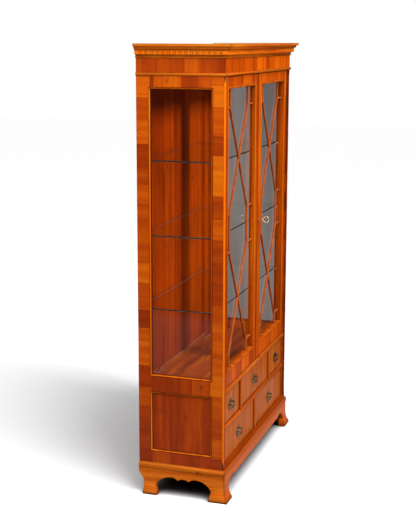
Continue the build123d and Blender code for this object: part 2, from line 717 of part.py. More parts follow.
def side_beads():
    """Bead frames that hold the pane and the lower panel of each side."""
    width = WINDOW_BACK - WINDOW_FRONT + 2 * SIDE_REBATE
    window_height = WINDOW_TOP - WINDOW_BOTTOM + 2 * SIDE_REBATE
    panel_height = PANEL_TOP - PANEL_BOTTOM + 2 * SIDE_REBATE
    window_frame = mitred_frame(width, window_height, side_bead(GLASS_EDGE_SETBACK), SIDE_REBATE)
    panel_frame = mitred_frame(width, panel_height, side_bead(SIDE_PANEL_SETBACK), SIDE_REBATE)
    window_frame = side_plane(WINDOW_BOTTOM, WINDOW_TOP).location * window_frame
    panel_frame = side_plane(PANEL_BOTTOM, PANEL_TOP).location * panel_frame
    return one_node(window_frame, panel_frame, mirrored(window_frame), mirrored(panel_frame))


def side_glass():
    """Left side's pane, with a broad bevel round its outer face."""
    width = WINDOW_BACK - WINDOW_FRONT + 2 * GLASS_REACH
    height = WINDOW_TOP - WINDOW_BOTTOM + 2 * GLASS_REACH
    back = Pos(0, 0, -SIDE_GLASS_SETBACK - SIDE_GLASS)
    edge = SIDE_GLASS - SIDE_GLASS_BEVEL_DEPTH
    slab = extrude(Rectangle(width, height), edge)
    field = Rectangle(width - 2 * SIDE_GLASS_BEVEL, height - 2 * SIDE_GLASS_BEVEL)
    bevel = loft([Pos(0, 0, edge) * Rectangle(width, height), Pos(0, 0, SIDE_GLASS) * field])
    return side_plane(WINDOW_BOTTOM, WINDOW_TOP).location * back * (slab + bevel)


def rail_board():
    """The board between the two rows of drawers, with a rounded front edge."""
    front = Y_FRONT + NOSING_SETBACK
    board = block((-INNER_HALF, INNER_HALF), (front, Y_BOARD_BACK), (RAIL_BOTTOM, RAIL_TOP))
    return fillet(board.edges().filter_by(Axis.X).group_by(Axis.Y)[0], RAIL_THICKNESS * RAIL_ROUNDING_SHARE)


def waist_moulding():
    """A half-round nosing under the doors, along the front of the deck."""
    radius = WAIST_HEIGHT / 2
    back, nose = -DECK_SETBACK, -NOSING_SETBACK
    start = back + WAIST_SQUARE
    section = outline(
        Line((back, WAIST_BOTTOM), (start, WAIST_BOTTOM)),
        ThreePointArc((start, WAIST_BOTTOM), (nose, WAIST_BOTTOM + radius), (start, WAIST_TOP)),
        Line((start, WAIST_TOP), (back, WAIST_TOP)),
        Line((back, WAIST_TOP), (back, WAIST_BOTTOM)),
    )
    plane = Plane((INNER_HALF, Y_FRONT, 0), x_dir=(0, -1, 0), z_dir=(-1, 0, 0))
    return extrude(plane * section, 2 * INNER_HALF)


def drawer_divider(x, low, high):
    """An upright between two drawers, with a rounded front edge."""
    half = DIVIDER_THICKNESS / 2
    upright = block((x - half, x + half), (Y_FRONT + DIVIDER_SETBACK, Y_BOARD_BACK), (low, high))
    return fillet(upright.edges().filter_by(Axis.Z).group_by(Axis.Y)[0], DIVIDER_ROUNDING)


def drawer_dividers():
    """Two uprights in the upper row, cut round the waist moulding, and one in the lower row."""
    deck_bottom = WAIST_TOP - BOARD_THICKNESS
    notch = block((-INNER_HALF, INNER_HALF), (Y_FRONT, Y_FRONT + DECK_SETBACK), (WAIST_BOTTOM, WAIST_TOP))
    upper = drawer_divider(-DIVIDER_OFFSET, RAIL_TOP, deck_bottom) - notch
    return one_node(upper, mirrored(upper), drawer_divider(0, DRAWER_FLOOR, RAIL_BOTTOM))


def deck_board():
    """The floor of the display space, with a hole for the left door's bolt."""
    low = WAIST_TOP - BOARD_THICKNESS
    board = block((-INNER_HALF, INNER_HALF), (Y_FRONT + DECK_SETBACK, Y_BOARD_BACK), (low, WAIST_TOP))
    return board - faceted_rod((BOLT_X, BOLT_Y, low), (BOLT_X, BOLT_Y, WAIST_TOP), BOLT_ROD + BOLT_PLAY)


def ceiling_board():
    """The board over the display space, which the doors close against."""
    front = DOOR_BACK + DOOR_END_GAP
    low = FRIEZE_BOTTOM - BOARD_THICKNESS
    return block((-INNER_HALF, INNER_HALF), (front, Y_BOARD_BACK), (low, FRIEZE_BOTTOM))


def bottom_board():
    """The floor under the lower drawers."""
    low = DRAWER_FLOOR - BOARD_THICKNESS
    return block((-INNER_HALF, INNER_HALF), (Y_FRONT, Y_BOARD_BACK), (low, DRAWER_FLOOR))


def top_board():
    """The dust board inside the rim of the cornice."""
    return block((-HALF_WIDTH, HALF_WIDTH), (Y_FRONT, Y_BACK), (CARCASS_TOP, TOP_BOARD_TOP))


def back_panel():
    """The back, let into the rear edges of the sides."""
    half = INNER_HALF + BACK_REBATE
    return block((-half, half), (Y_BOARD_BACK, Y_BACK), (PLINTH_HEIGHT, CARCASS_TOP))


def glass_shelves():
    """Loose glass shelves that rest on the pins."""
    half = INNER_HALF - SHELF_SIDE_GAP
    y = (Y_FRONT + SHELF_SETBACK, Y_BOARD_BACK - SHELF_BACK_GAP)
    return one_node(*[block((-half, half), y, (top - SHELF_THICKNESS, top)) for top in SHELF_TOPS])


def shelf_pins():
    """Brass pins: a round peg in the side and a flat tongue under the glass."""
    pins = []
    for y, z in pin_places():
        half = PIN_TONGUE_THICKNESS / 2
        wide = PIN_TONGUE_WIDTH / 2
        tongue = block((-INNER_HALF, -INNER_HALF + PIN_TONGUE), (y - wide, y + wide), (z - half, z + half))
        peg = faceted_rod((-INNER_HALF - PIN_DEPTH, y, z), (-INNER_HALF + PIN_RADIUS, y, z), PIN_RADIUS)
        pins += [tongue + peg, mirrored(tongue + peg)]
    return one_node(*pins)


# Hinges


def knuckle(low, high, radius):
    """A length of hinge barrel on the left door's axis."""
    return faceted_rod((HINGE_X, HINGE_Y, low), (HINGE_X, HINGE_Y, high), radius)


def fixed_leaf(level):
    """Hinge leaf let into the left side, with the outer knuckles and the pin."""
    half, third = HINGE_HEIGHT / 2, HINGE_HEIGHT / 6
    inner = -INNER_HALF
    leaf = block(
        (inner - HINGE_LEAF_THICKNESS, inner), (HINGE_Y, DOOR_FACE + HINGE_LEAF), (level - half, level + half)
    )
    leaf += knuckle(level - half, level + half, HINGE_PIN)
    for low, high in ((level - half, level - third), (level + third, level + half)):
        leaf += block((inner - HINGE_LEAF_THICKNESS, HINGE_X), (HINGE_Y, HINGE_Y + HINGE_WEB), (low, high))
        leaf += knuckle(low, high, HINGE_KNUCKLE)
    return leaf


def door_leaf(level):
    """Hinge leaf let into the left door's edge, with the middle knuckle."""
    half = HINGE_HEIGHT / 2
    middle = HINGE_HEIGHT / 6 - HINGE_PLAY
    x = (DOOR_OUTER, DOOR_OUTER + HINGE_LEAF_THICKNESS)
    leaf = block(x, (DOOR_FACE, DOOR_FACE + HINGE_LEAF), (level - half, level + half))
    leaf += block(x, (HINGE_Y, DOOR_FACE + HINGE_WEB), (level - middle, level + middle))
    leaf += knuckle(level - middle, level + middle, HINGE_KNUCKLE)
    return leaf - knuckle(level - half, level + half, HINGE_PIN + HINGE_PLAY)


# Doors


def keyhole(length):
    """The cutter for a keyhole along Y: a round hole with a slot below it for the bit."""
    depth = (DOOR_FACE - length, DOOR_FACE + length)
    round_hole = rod((KEY_X, depth[0], KEY_Z), (KEY_X, depth[1], KEY_Z), KEY_SHANK + KEY_PLAY)
    half = KEY_BIT_THICKNESS / 2 + KEY_PLAY
    slot = block((KEY_X - half, KEY_X + half), depth, (KEY_Z - KEY_BIT_REACH - KEY_PLAY, KEY_Z))
    return round_hole + slot


def door_frame():
    """Left door's two stiles and two rails, rebated at the back for the glass."""
    depth = (DOOR_FACE, DOOR_BACK)
    outer_stile = block((DOOR_OUTER, SIGHT_OUTER), depth, (DOOR_BOTTOM, DOOR_TOP))
    meeting_stile = block((SIGHT_MEETING, DOOR_MEETING), depth, (DOOR_BOTTOM, DOOR_TOP))
    top_rail = block((SIGHT_OUTER, SIGHT_MEETING), depth, (SIGHT_TOP, DOOR_TOP))
    bottom_rail = block((SIGHT_OUTER, SIGHT_MEETING), depth, (DOOR_BOTTOM, SIGHT_BOTTOM))
    rebate = block(
        (SIGHT_OUTER - DOOR_STOP_WIDTH, SIGHT_MEETING + DOOR_STOP_WIDTH),
        (GLASS_FRONT, DOOR_BACK),
        (SIGHT_BOTTOM - DOOR_STOP_WIDTH, SIGHT_TOP + DOOR_STOP_WIDTH),
    )
    for mortise in hinge_mortise(DOOR_OUTER, DOOR_OUTER + HINGE_LEAF_THICKNESS):
        outer_stile -= mortise
    return [piece - rebate for piece in (outer_stile, meeting_stile, top_rail, bottom_rail)]


def door_beads():
    """Bead frame on the door's face round the glass, and the stops that hold the glass behind."""
    width = SIGHT_MEETING - SIGHT_OUTER
    height = SIGHT_TOP - SIGHT_BOTTOM
    bead = mitred_frame(width + 2 * DOOR_BEAD, height + 2 * DOOR_BEAD, door_bead(), DOOR_BEAD)
    stop_section = polygon([
        (0, 0),
        (DOOR_STOP_WIDTH, 0),
        (DOOR_STOP_WIDTH, DOOR_STOP_DEPTH),
        (0, DOOR_STOP_DEPTH),
    ])
    stop_width, stop_height = width + 2 * DOOR_STOP_WIDTH, height + 2 * DOOR_STOP_WIDTH
    stop = mitred_frame(stop_width, stop_height, stop_section, DOOR_STOP_WIDTH)
    return one_node(door_plane(DOOR_FACE).location * bead, door_plane(DOOR_BACK).location * stop)


def door_glass():
    """One sheet of glass behind the lattice."""
    reach = DOOR_STOP_WIDTH - GLASS_CLEARANCE
    return block(
        (SIGHT_OUTER - reach, SIGHT_MEETING + reach),
        (GLASS_FRONT, GLASS_BACK),
        (SIGHT_BOTTOM - reach, SIGHT_TOP + reach),
    )


def lattice_bar(start, end, overrun):
    """A bar with a rounded nose between two points of the lattice, lengthened at both ends."""
    run = Vector(end[0] - start[0], end[1] - start[1])
    half = LATTICE_WIDTH / 2
    shoulder = LATTICE_DEPTH - half
    nose = [math.pi * side / NOSE_SIDES for side in range(NOSE_SIDES + 1)]
    round_nose = [(half * math.cos(turn), shoulder + half * math.sin(turn)) for turn in nose]
    section = polygon([(-half, 0), (half, 0)] + round_nose)
    length = run.length + 2 * overrun
    plane = Plane((-length / 2, 0, 0), x_dir=(0, 1, 0), z_dir=(1, 0, 0))
    bar = extrude(plane * section, length)
    angle = math.degrees(math.atan2(run.Y, run.X))
    return Pos((start[0] + end[0]) / 2, (start[1] + end[1]) / 2, 0) * Rot(0, 0, angle) * bar


def door_lattice():
    """Upright bars joined to the stiles by short stubs, with a long cross above and one below."""
    half_width = (SIGHT_MEETING - SIGHT_OUTER) / 2
    half_height = (SIGHT_TOP - SIGHT_BOTTOM) / 2
    inset = half_width - LATTICE_INSET
    high = LATTICE_HIGH - SIGHT_MIDDLE_Z
    low = LATTICE_LOW - SIGHT_MIDDLE_Z
    upper = LATTICE_CENTRE + LATTICE_MIDDLE / 2 - SIGHT_MIDDLE_Z
    lower = LATTICE_CENTRE - LATTICE_MIDDLE / 2 - SIGHT_MIDDLE_Z
    corner = LATTICE_WIDTH / 2
    bars = []
    for x, edge in ((-inset, -half_width), (inset, half_width)):
        bars.append(lattice_bar((x, high - corner), (x, half_height), 0))
        bars.append(lattice_bar((x, lower), (x, upper), corner))
        bars.append(lattice_bar((x, -half_height), (x, low + corner), 0))
        for level in (high, upper, lower, low):
            bars.append(lattice_bar((x, level), (edge, level), 0))
        bars.append(lattice_bar((x, high), (-x, upper), 0))
        bars.append(lattice_bar((x, lower), (-x, low), 0))
    joined = bars[0]
    for bar in bars[1:]:
        joined += bar
    return door_plane(GLASS_FRONT).location * joined


# Lock, key and bolt


def lock_case():
    """A box lock on the back of the right door, and the escutcheon on its face."""
    left = -DOOR_MEETING + LOCK_EDGE
    x = (left, left + LOCK_WIDTH)
    y = (DOOR_BACK, DOOR_BACK + LOCK_DEPTH)
    z = (KEY_Z - LOCK_HEIGHT / 2, KEY_Z + LOCK_HEIGHT / 2)
    hollow = [(low + LOCK_WALL, high - LOCK_WALL) for low, high in (x, y, z)]
    case = block(x, y, z) - block(*hollow)
    bolt_x, bolt_y, bolt_z = lock_bolt_box()
    case -= block(
        (left - LOCK_WALL, left + 2 * LOCK_WALL),
        (bolt_y[0] - LOCK_PLAY, bolt_y[1] + LOCK_PLAY),
        (bolt_z[0] - LOCK_PLAY, bolt_z[1] + LOCK_PLAY),
    )
    plate = rod((KEY_X, DOOR_FACE, KEY_Z), (KEY_X, DOOR_FACE - ESCUTCHEON_THICKNESS, KEY_Z), ESCUTCHEON)
    cutter = keyhole(DOOR_THICKNESS + 2 * LOCK_WALL)
    return one_node(case - cutter, plate - cutter)


def lock_bolt_box():
    """Spans of the bolt, drawn back into the case."""
    left = -DOOR_MEETING + LOCK_EDGE + LOCK_PLAY
    front = DOOR_BACK + (LOCK_DEPTH - LOCK_BOLT_THICKNESS) / 2
    low = KEY_Z + LOCK_BOLT_RISE
    return (
        (left, left + LOCK_BOLT_LENGTH),
        (front, front + LOCK_BOLT_THICKNESS),
        (low, low + LOCK_BOLT_HEIGHT),
    )


def key():
    """The key in its lock: bit, shank, collar and ring bow, with the bow upright."""
    circle = arc_places((0, 0), KEY_BOW, 0, 360)
    bow = faceted_solid([tube_ring(*place, KEY_BOW_WIRE) for place in circle], endless=True)
    tip = DOOR_BACK + LOCK_DEPTH - 2 * LOCK_WALL
    head = DOOR_FACE - KEY_REACH
    shank = faceted_rod((KEY_X, tip, KEY_Z), (KEY_X, head, KEY_Z), KEY_SHANK)
    shank += faceted_rod((KEY_X, head + KEY_COLLAR_LENGTH, KEY_Z), (KEY_X, head, KEY_Z), KEY_COLLAR)
    bit_half = KEY_BIT_THICKNESS / 2
    bit = block(
        (KEY_X - bit_half, KEY_X + bit_half), (tip - KEY_BIT_LENGTH, tip), (KEY_Z - KEY_BIT_REACH, KEY_Z)
    )
    return shank + bit + Pos(KEY_X, head - KEY_BOW, KEY_Z) * Rot(0, 90, 0) * bow


def bolt_plate():
    """Plate with two guides for the left door's bolt."""
    low = DOOR_BOTTOM + BOLT_PLATE_RISE
    half = BOLT_PLATE_WIDTH / 2
    back = DOOR_BACK + BOLT_PLATE_THICKNESS
    x = (BOLT_X - half, BOLT_X + half)
    plate = block(x, (DOOR_BACK, back), (low, low + BOLT_PLATE_LENGTH))
    guide_x = (BOLT_X - half / 2 - BOLT_ROD / 2, BOLT_X + half / 2 + BOLT_ROD / 2)
    for start in (low, low + BOLT_PLATE_LENGTH - BOLT_GUIDE):
        plate += block(guide_x, (back, BOLT_Y + BOLT_STANDOFF), (start, start + BOLT_GUIDE))
    top = low + BOLT_PLATE_LENGTH
    return plate - faceted_rod((BOLT_X, BOLT_Y, low), (BOLT_X, BOLT_Y, top), BOLT_ROD + BOLT_PLAY)


def door_bolt():
    """Round bolt with a small knob, raised clear of the deck."""
    low = DOOR_BOTTOM + BOLT_RISE
    knob_z = DOOR_BOTTOM + BOLT_KNOB_RISE
    shaft = faceted_rod((BOLT_X, BOLT_Y, low), (BOLT_X, BOLT_Y, low + BOLT_LENGTH), BOLT_ROD)
    knob_end = BOLT_Y + BOLT_ROD + BOLT_KNOB_LENGTH
    return shaft + faceted_rod((BOLT_X, BOLT_Y, knob_z), (BOLT_X, knob_end, knob_z), BOLT_KNOB)


# Drawers and their pulls


def drawer_openings():
    """Each drawer's name with the spans of its opening across and up."""
    half = DIVIDER_THICKNESS / 2
    lower = (DRAWER_FLOOR, RAIL_BOTTOM)
    upper = (RAIL_TOP, WAIST_BOTTOM)
    return {
        "upper_left": ((-INNER_HALF, -DIVIDER_OFFSET - half), upper),
        "upper_middle": ((-DIVIDER_OFFSET + half, DIVIDER_OFFSET - half), upper),
        "upper_right": ((DIVIDER_OFFSET + half, INNER_HALF), upper),
        "lower_left": ((-INNER_HALF, -half), lower),
        "lower_right": ((half, INNER_HALF), lower),
    }


def drawer_front(across, up):
    """The front board, with its face edges eased."""
    x = (across[0] + DRAWER_GAP, across[1] - DRAWER_GAP)
    z = (up[0] + DRAWER_GAP, up[1] - DRAWER_GAP)
    board = block(x, (DRAWER_FACE, DRAWER_FACE + DRAWER_FRONT), z)
    return chamfer(board.faces().sort_by(Axis.Y)[0].edges(), DRAWER_EDGE_EASING)


def drawer_box(across, up):
    """Two sides, back and bottom of the box behind a drawer front."""
    left, right = across[0] + DRAWER_GAP, across[1] - DRAWER_GAP
    front, back = DRAWER_FACE + DRAWER_FRONT, Y_BOARD_BACK - DRAWER_BACK_GAP
    low, high = up[0] + DRAWER_RUN_GAP, up[1] - DRAWER_TOP_DROP
    inner = (left + DRAWER_WALL, right - DRAWER_WALL)
    base = low + DRAWER_BOTTOM_RISE
    return one_node(
        block((left, inner[0]), (front, back), (low, high)),
        block((inner[1], right), (front, back), (low, high)),
        block(inner, (back - DRAWER_WALL, back), (low, high)),
        block(inner, (front, back - DRAWER_WALL), (base, base + DRAWER_BOTTOM)),
    )


def pull_plane(across, up):
    """The face of a drawer at the middle of its pull, with its normal to the front."""
    middle = ((across[0] + across[1]) / 2, DRAWER_FACE, (up[0] + up[1]) / 2)
    return Plane(middle, x_dir=(1, 0, 0), z_dir=(0, -1, 0))


def oval(inset, height):
    """Corners of the plate's outline drawn in by an inset, at a height over the drawer's face."""
    half_width, half_height = PLATE_WIDTH / 2 - inset, PLATE_HEIGHT / 2 - inset
    ring = turns(OVAL_SIDES)
    return [Vector(half_width * math.cos(turn), half_height * math.sin(turn), height) for turn in ring]


def pull_post(x):
    """A round post with a ball head."""
    latitude = math.radians(POST_BALL_LATITUDE)
    rise, waist = POST_BALL * math.sin(latitude), POST_BALL * math.cos(latitude)
    rings = [
        (0, POST_RADIUS),
        (POST_LENGTH - rise, waist),
        (POST_LENGTH, POST_BALL),
        (POST_LENGTH + rise, waist),
    ]
    spokes = [Vector(math.cos(turn), math.sin(turn)) for turn in turns(ROD_SIDES)]
    return faceted_solid([
        [Vector(x, POST_RISE, level) + spoke * radius for spoke in spokes] for level, radius in rings
    ])


def pull_plate():
    """Oval plate with a raised rim and field, and two posts with drilled ball heads."""
    field_top = PLATE_THICKNESS + PLATE_FIELD_HEIGHT
    plate = extrude(polygon(oval(0, 0)), PLATE_THICKNESS + PLATE_RIM_HEIGHT)
    plate -= extrude(polygon(oval(PLATE_RIM, PLATE_THICKNESS)), PLATE_RIM_HEIGHT)
    foot = oval(PLATE_FIELD_MARGIN, PLATE_THICKNESS)
    brow = oval(PLATE_FIELD_MARGIN + PLATE_FIELD_SLOPE, field_top)
    plate += faceted_solid([foot, brow])
    for x in (-POST_OFFSET, POST_OFFSET):
        plate += pull_post(x)
    reach = POST_OFFSET + 2 * POST_BALL
    bore_start, bore_end = (-reach, POST_RISE, POST_LENGTH), (reach, POST_RISE, POST_LENGTH)
    return plate - faceted_rod(bore_start, bore_end, BAIL_WIRE + BAIL_PLAY)


def pull_bail():
    """A bent bar hung from the posts: pivots, shoulders and a shallow bow that swells in the middle."""
    arm = POST_OFFSET + POST_BALL + BAIL_WIRE + BAIL_PLAY
    turn = math.radians(BAIL_SHOULDER_TURN)
    joint_x = arm - BAIL_SHOULDER + BAIL_SHOULDER * math.cos(turn)
    joint_y = -BAIL_CORNER - BAIL_SHOULDER * math.sin(turn)
    bow_radius = joint_x / math.cos(turn)
    bow_centre = (0, joint_y + bow_radius * math.sin(turn))
    corner = arc_places((arm - BAIL_CORNER, -BAIL_CORNER), BAIL_CORNER, 90, 0)
    shoulder = arc_places((arm - BAIL_SHOULDER, -BAIL_CORNER), BAIL_SHOULDER, 0, -BAIL_SHOULDER_TURN)
    bow = arc_places(bow_centre, bow_radius, -BAIL_SHOULDER_TURN, -90)
    slender = [(Vector(POST_OFFSET, 0), corner[0][1])] + corner + shoulder[1:]
    rings = [tube_ring(*place, BAIL_WIRE) for place in slender]
    for step, place in enumerate(bow[1:], 1):
        rings.append(tube_ring(*place, BAIL_WIRE + (BAIL_BELLY - BAIL_WIRE) * step / (len(bow) - 1)))
    left = [[Vector(-point.X, point.Y, point.Z) for point in ring] for ring in reversed(rings[:-1])]
    return Pos(0, POST_RISE, POST_LENGTH) * faceted_solid(rings + left)


def export(name, piece):
    """One STEP file for a node."""
    export_step(piece, os.path.join("parts", name + ".step"))


def main():
    os.makedirs("parts", exist_ok=True)
    front_bracket, left_bracket, right_bracket = brackets()
    left_side = side_frame()
    left_glass = side_glass()
    meeting_frame = door_frame()
    left_beads = door_beads()
    left_lattice = door_lattice()
    left_pane = door_glass()
    left_leaves = one_node(*[door_leaf(level) for level in HINGE_LEVELS])
    fixed_leaves = one_node(*[fixed_leaf(level) for level in HINGE_LEVELS])
    right_frame = [mirrored(piece) for piece in meeting_frame]
    right_frame[1] -= keyhole(2 * DOOR_THICKNESS)

    nodes = {
        "side_frame_left": left_side,
        "side_frame_right": mirrored(left_side),
        "side_beads": side_beads(),
        "side_glass_left": left_glass,
        "side_glass_right": mirrored(left_glass),
        "back_panel": back_panel(),
        "top_board": top_board(),
        "ceiling_board": ceiling_board(),
        "deck_board": deck_board(),
        "drawer_rail_board": rail_board(),
        "bottom_board": bottom_board(),
        "drawer_dividers": drawer_dividers(),
        "waist_moulding": waist_moulding(),
        "frieze_rail": frieze_rail(),
        "neck_moulding": one_node(*mitred_lengths(neck_section())),
        "cornice": one_node(*mitred_lengths(cornice_section())),
        "dentil_band": dentil_band(),
        "base_moulding": one_node(*mitred_lengths(base_section())),
        "front_bracket": front_bracket,
        "side_bracket_left": left_bracket,
        "side_bracket_right": right_bracket,
        "plinth_blocks": plinth_blocks(),
        "glass_shelves": glass_shelves(),
        "shelf_pins": shelf_pins(),
        "hinge_leaves": one_node(fixed_leaves, mirrored(fixed_leaves)),
        "door_frame_left": one_node(*meeting_frame),
        "door_beads_left": left_beads,
        "door_lattice_left": left_lattice,
        "door_glass_left": left_pane,
        "door_hinges_left": left_leaves,
        "bolt_plate": bolt_plate(),
        "door_bolt": door_bolt(),
        "door_frame_right": one_node(*right_frame),
        "door_beads_right": mirrored(left_beads),
        "door_lattice_right": mirrored(left_lattice),
        "door_glass_right": mirrored(left_pane),
        "door_hinges_right": mirrored(left_leaves),
        "lock_case": lock_case(),
        "lock_bolt": block(*lock_bolt_box()),
        "key": key(),
    }
    plate = pull_plate()
    bail = pull_bail()
    for name, (across, up) in drawer_openings().items():
        place = pull_plane(across, up).location
        nodes["drawer_front_" + name] = drawer_front(across, up)
        nodes["drawer_box_" + name] = drawer_box(across, up)
        nodes["pull_plate_" + name] = place * plate
        nodes["pull_bail_" + name] = place * bail
    for name, piece in nodes.items():
        export(name, piece)


main()
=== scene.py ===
# %% [markdown]
# # A tall china cabinet in yew
# The frame already holds every board, moulding, pane and hinge at its real size, so this lesson is about
# looks: veneer laid in blocks, lacquer, clear glass, brass, and the studio around them. Three kinds of
# small brass pieces are made afresh as smooth surfaces: the pull plates, their bails and the key.

# %% Load the frame and keep its box
import math
from functools import partialmethod, reduce

import bmesh
import bpy
import numpy as np
from mathutils import Matrix, Vector


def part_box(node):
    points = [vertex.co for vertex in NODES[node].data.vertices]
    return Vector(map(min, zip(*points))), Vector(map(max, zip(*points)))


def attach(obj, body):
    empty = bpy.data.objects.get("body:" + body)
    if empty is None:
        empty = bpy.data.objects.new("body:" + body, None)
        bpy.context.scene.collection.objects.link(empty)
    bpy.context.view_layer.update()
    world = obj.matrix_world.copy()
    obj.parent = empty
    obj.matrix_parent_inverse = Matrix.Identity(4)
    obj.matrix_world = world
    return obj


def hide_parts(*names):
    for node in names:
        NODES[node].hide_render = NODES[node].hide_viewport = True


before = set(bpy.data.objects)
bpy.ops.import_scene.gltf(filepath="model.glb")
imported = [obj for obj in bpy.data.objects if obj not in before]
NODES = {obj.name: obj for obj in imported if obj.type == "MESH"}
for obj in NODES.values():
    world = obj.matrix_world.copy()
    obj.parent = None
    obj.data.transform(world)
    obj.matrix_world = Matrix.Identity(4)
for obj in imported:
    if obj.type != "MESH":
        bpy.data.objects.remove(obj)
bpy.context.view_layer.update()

# %% [markdown]
# ## Places that the finishes need
# Veneer changes direction at the joints, so the finishes have to know where the stiles and rails meet. These
# places are read from the boxes of the nodes, so the veneer stays on its board if the cabinet changes.

# %% Read the places
SIDE_LOW, SIDE_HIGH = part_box("side_frame_left")
GLASS_LOW, GLASS_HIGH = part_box("side_glass_left")
DOOR_LOW, DOOR_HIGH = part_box("door_frame_left")
BEADS_LOW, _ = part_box("side_beads")
FRIEZE_LOW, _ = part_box("frieze_rail")
_, DECK_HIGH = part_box("deck_board")
Y_FRONT = SIDE_LOW.y
Y_BACK = SIDE_HIGH.y
Y_MIDDLE = (Y_FRONT + Y_BACK) / 2
HALF_WIDTH = -SIDE_LOW.x
FRIEZE_BOTTOM = FRIEZE_LOW.z
DECK_TOP = DECK_HIGH.z
print("carcass", round(2 * HALF_WIDTH, 3), "by", round(Y_BACK - Y_FRONT, 3))

# %% [markdown]
# ## Values in a node tree
# A material is a tree of nodes. To keep the trees as readable as sums, an output of a node is wrapped as a
# value, and each plus, minus or comparison of values adds the node that works it out.


# %% Node helpers
class Value:
    """An output of a node, reckoned with like a number. A comparison gives one where it holds, else zero."""

    def __init__(self, tree, socket):
        self.tree = tree
        self.socket = socket

    def step(self, operation, other=0.0):
        """One step of arithmetic with a number or another value."""
        return node_value(self.tree, "ShaderNodeMath", {0: self, 1: other}, operation=operation)

    __add__ = partialmethod(step, "ADD")
    __sub__ = partialmethod(step, "SUBTRACT")
    __mul__ = partialmethod(step, "MULTIPLY")
    __truediv__ = partialmethod(step, "DIVIDE")
    __gt__ = partialmethod(step, "GREATER_THAN")
    __lt__ = partialmethod(step, "LESS_THAN")
    __abs__ = partialmethod(step, "ABSOLUTE")

    def __rsub__(self, number):
        """A number less this value."""
        return self * -1.0 + number

    def fit(self, low, high, new_low=0.0, new_high=1.0):
        """The value moved from one range to another, stopped at the ends."""
        inputs = {"Value": self, "From Min": low, "From Max": high, "To Min": new_low, "To Max": new_high}
        return node_value(self.tree, "ShaderNodeMapRange", inputs, "Result")

    def blend(self, first, second):
        """The first of two values where this one is zero, the second where it is one."""
        return node_value(self.tree, "ShaderNodeMix", {0: self, 2: first, 3: second}, data_type="FLOAT")

    def blend_colours(self, first, second):
        """The same with two colours."""
        return node_value(self.tree, "ShaderNodeMix", {0: self, 6: first, 7: second}, 2, data_type="RGBA")

    def blend_shaders(self, first, second):
        """The same with two surfaces."""
        return node_value(self.tree, "ShaderNodeMixShader", {0: self, 1: first, 2: second})


def send(tree, node, values):
    """Sets each named input of a node to a number, or links it to a value."""
    for name, value in values.items():
        source = getattr(value, "socket", value)
        if isinstance(source, bpy.types.NodeSocket):
            tree.links.new(source, node.inputs[name])
        else:
            node.inputs[name].default_value = source


def put(tree, kind, inputs, **options):
    """Adds a node, sets its options and fills its inputs."""
    made = tree.nodes.new(kind)
    for option, value in options.items():
        setattr(made, option, value)
    send(tree, made, inputs)
    return made


def node_value(tree, kind, inputs, output=0, **options):
    """Adds a node and gives one of its outputs as a value."""
    return Value(tree, put(tree, kind, inputs, **options).outputs[output])


def node_values(tree, kind, inputs, **options):
    """Adds a node and gives all its outputs by name."""
    made = put(tree, kind, inputs, **options)
    return {output.name: Value(tree, output) for output in made.outputs}


def larger(first, second):
    """The larger of two values."""
    return first.step("MAXIMUM", second)


def parts_of(point):
    """The three parts of a vector."""
    parts = put(point.tree, "ShaderNodeSeparateXYZ", {0: point}).outputs
    return [Value(point.tree, part) for part in parts]


def vector(x, y, z):
    """Three values joined into a vector."""
    return node_value(x.tree, "ShaderNodeCombineXYZ", {0: x, 1: y, 2: z})


def vector_step(operation, first, second, socket=1):
    """One step of arithmetic on two vectors."""
    return node_value(first.tree, "ShaderNodeVectorMath", {0: first, socket: second}, operation=operation)


def noise(point, scale, detail, output="Fac"):
    """Smooth noise round a point, as a value or as a colour."""
    inputs = {"Vector": point, "Scale": scale, "Detail": detail}
    return node_value(point.tree, "ShaderNodeTexNoise", inputs, output)


def openness(tree, reach, **options):
    """How much of the surroundings a point sees within a reach: one in the open, less in corners."""
    return node_value(tree, "ShaderNodeAmbientOcclusion", {"Distance": reach}, "AO", **options)


def ramp(value, stops):
    """A colour looked up by a value along a list of places and colours."""
    made = put(value.tree, "ShaderNodeValToRGB", {0: value})
    scale = made.color_ramp
    while len(scale.elements) < len(stops):
        scale.elements.new(0.5)
    for element, (place, colour) in zip(scale.elements, stops):
        element.position = place
        element.color = colour
    return Value(value.tree, made.outputs["Color"])


def new_group(name, inputs, outputs):
    """An empty node group with named sockets: its tree, its inputs as values and its output node."""
    tree = bpy.data.node_groups.new(name, "ShaderNodeTree")
    for socket in inputs:
        kind = "NodeSocketVector" if socket == "Vector" else "NodeSocketFloat"
        tree.interface.new_socket(socket, in_out="INPUT", socket_type=kind)
    for socket in outputs:
        tree.interface.new_socket(socket, in_out="OUTPUT", socket_type="NodeSocketFloat")
    return tree, node_values(tree, "NodeGroupInput", {}), put(tree, "NodeGroupOutput", {})


def use_group(tree, group, inputs):
    """Places a group in a tree, fills its inputs and gives its outputs by name."""
    return node_values(tree, "ShaderNodeGroup", inputs, node_tree=group)


def tint(red, green, blue):
    """A colour written as seen on screen, 0 to 255, turned into the linear values that shaders use."""
    seen = np.array([red, green, blue]) / 255
    linear = np.where(seen <= 0.04045, seen / 12.92, ((seen + 0.055) / 1.055) ** 2.4)
    return (*[float(value) for value in linear], 1.0)


def shades(*stops):
    """A palette: each stop is a place from 0 to 1 and a colour as seen on screen."""
    return [(place, tint(*seen)) for place, *seen in stops]


print("helpers ready")

# %% [markdown]
# ## Grain of yew
# Yew has long streaks of orange and red-brown, fine darker lines, and clusters of pin knots that the grain
# bends round. Noise stretched along the grain gives the streaks. A slow noise first pushes the grain
# sideways, which makes it wander. A cell pattern gives the knots, and only some cells keep theirs.

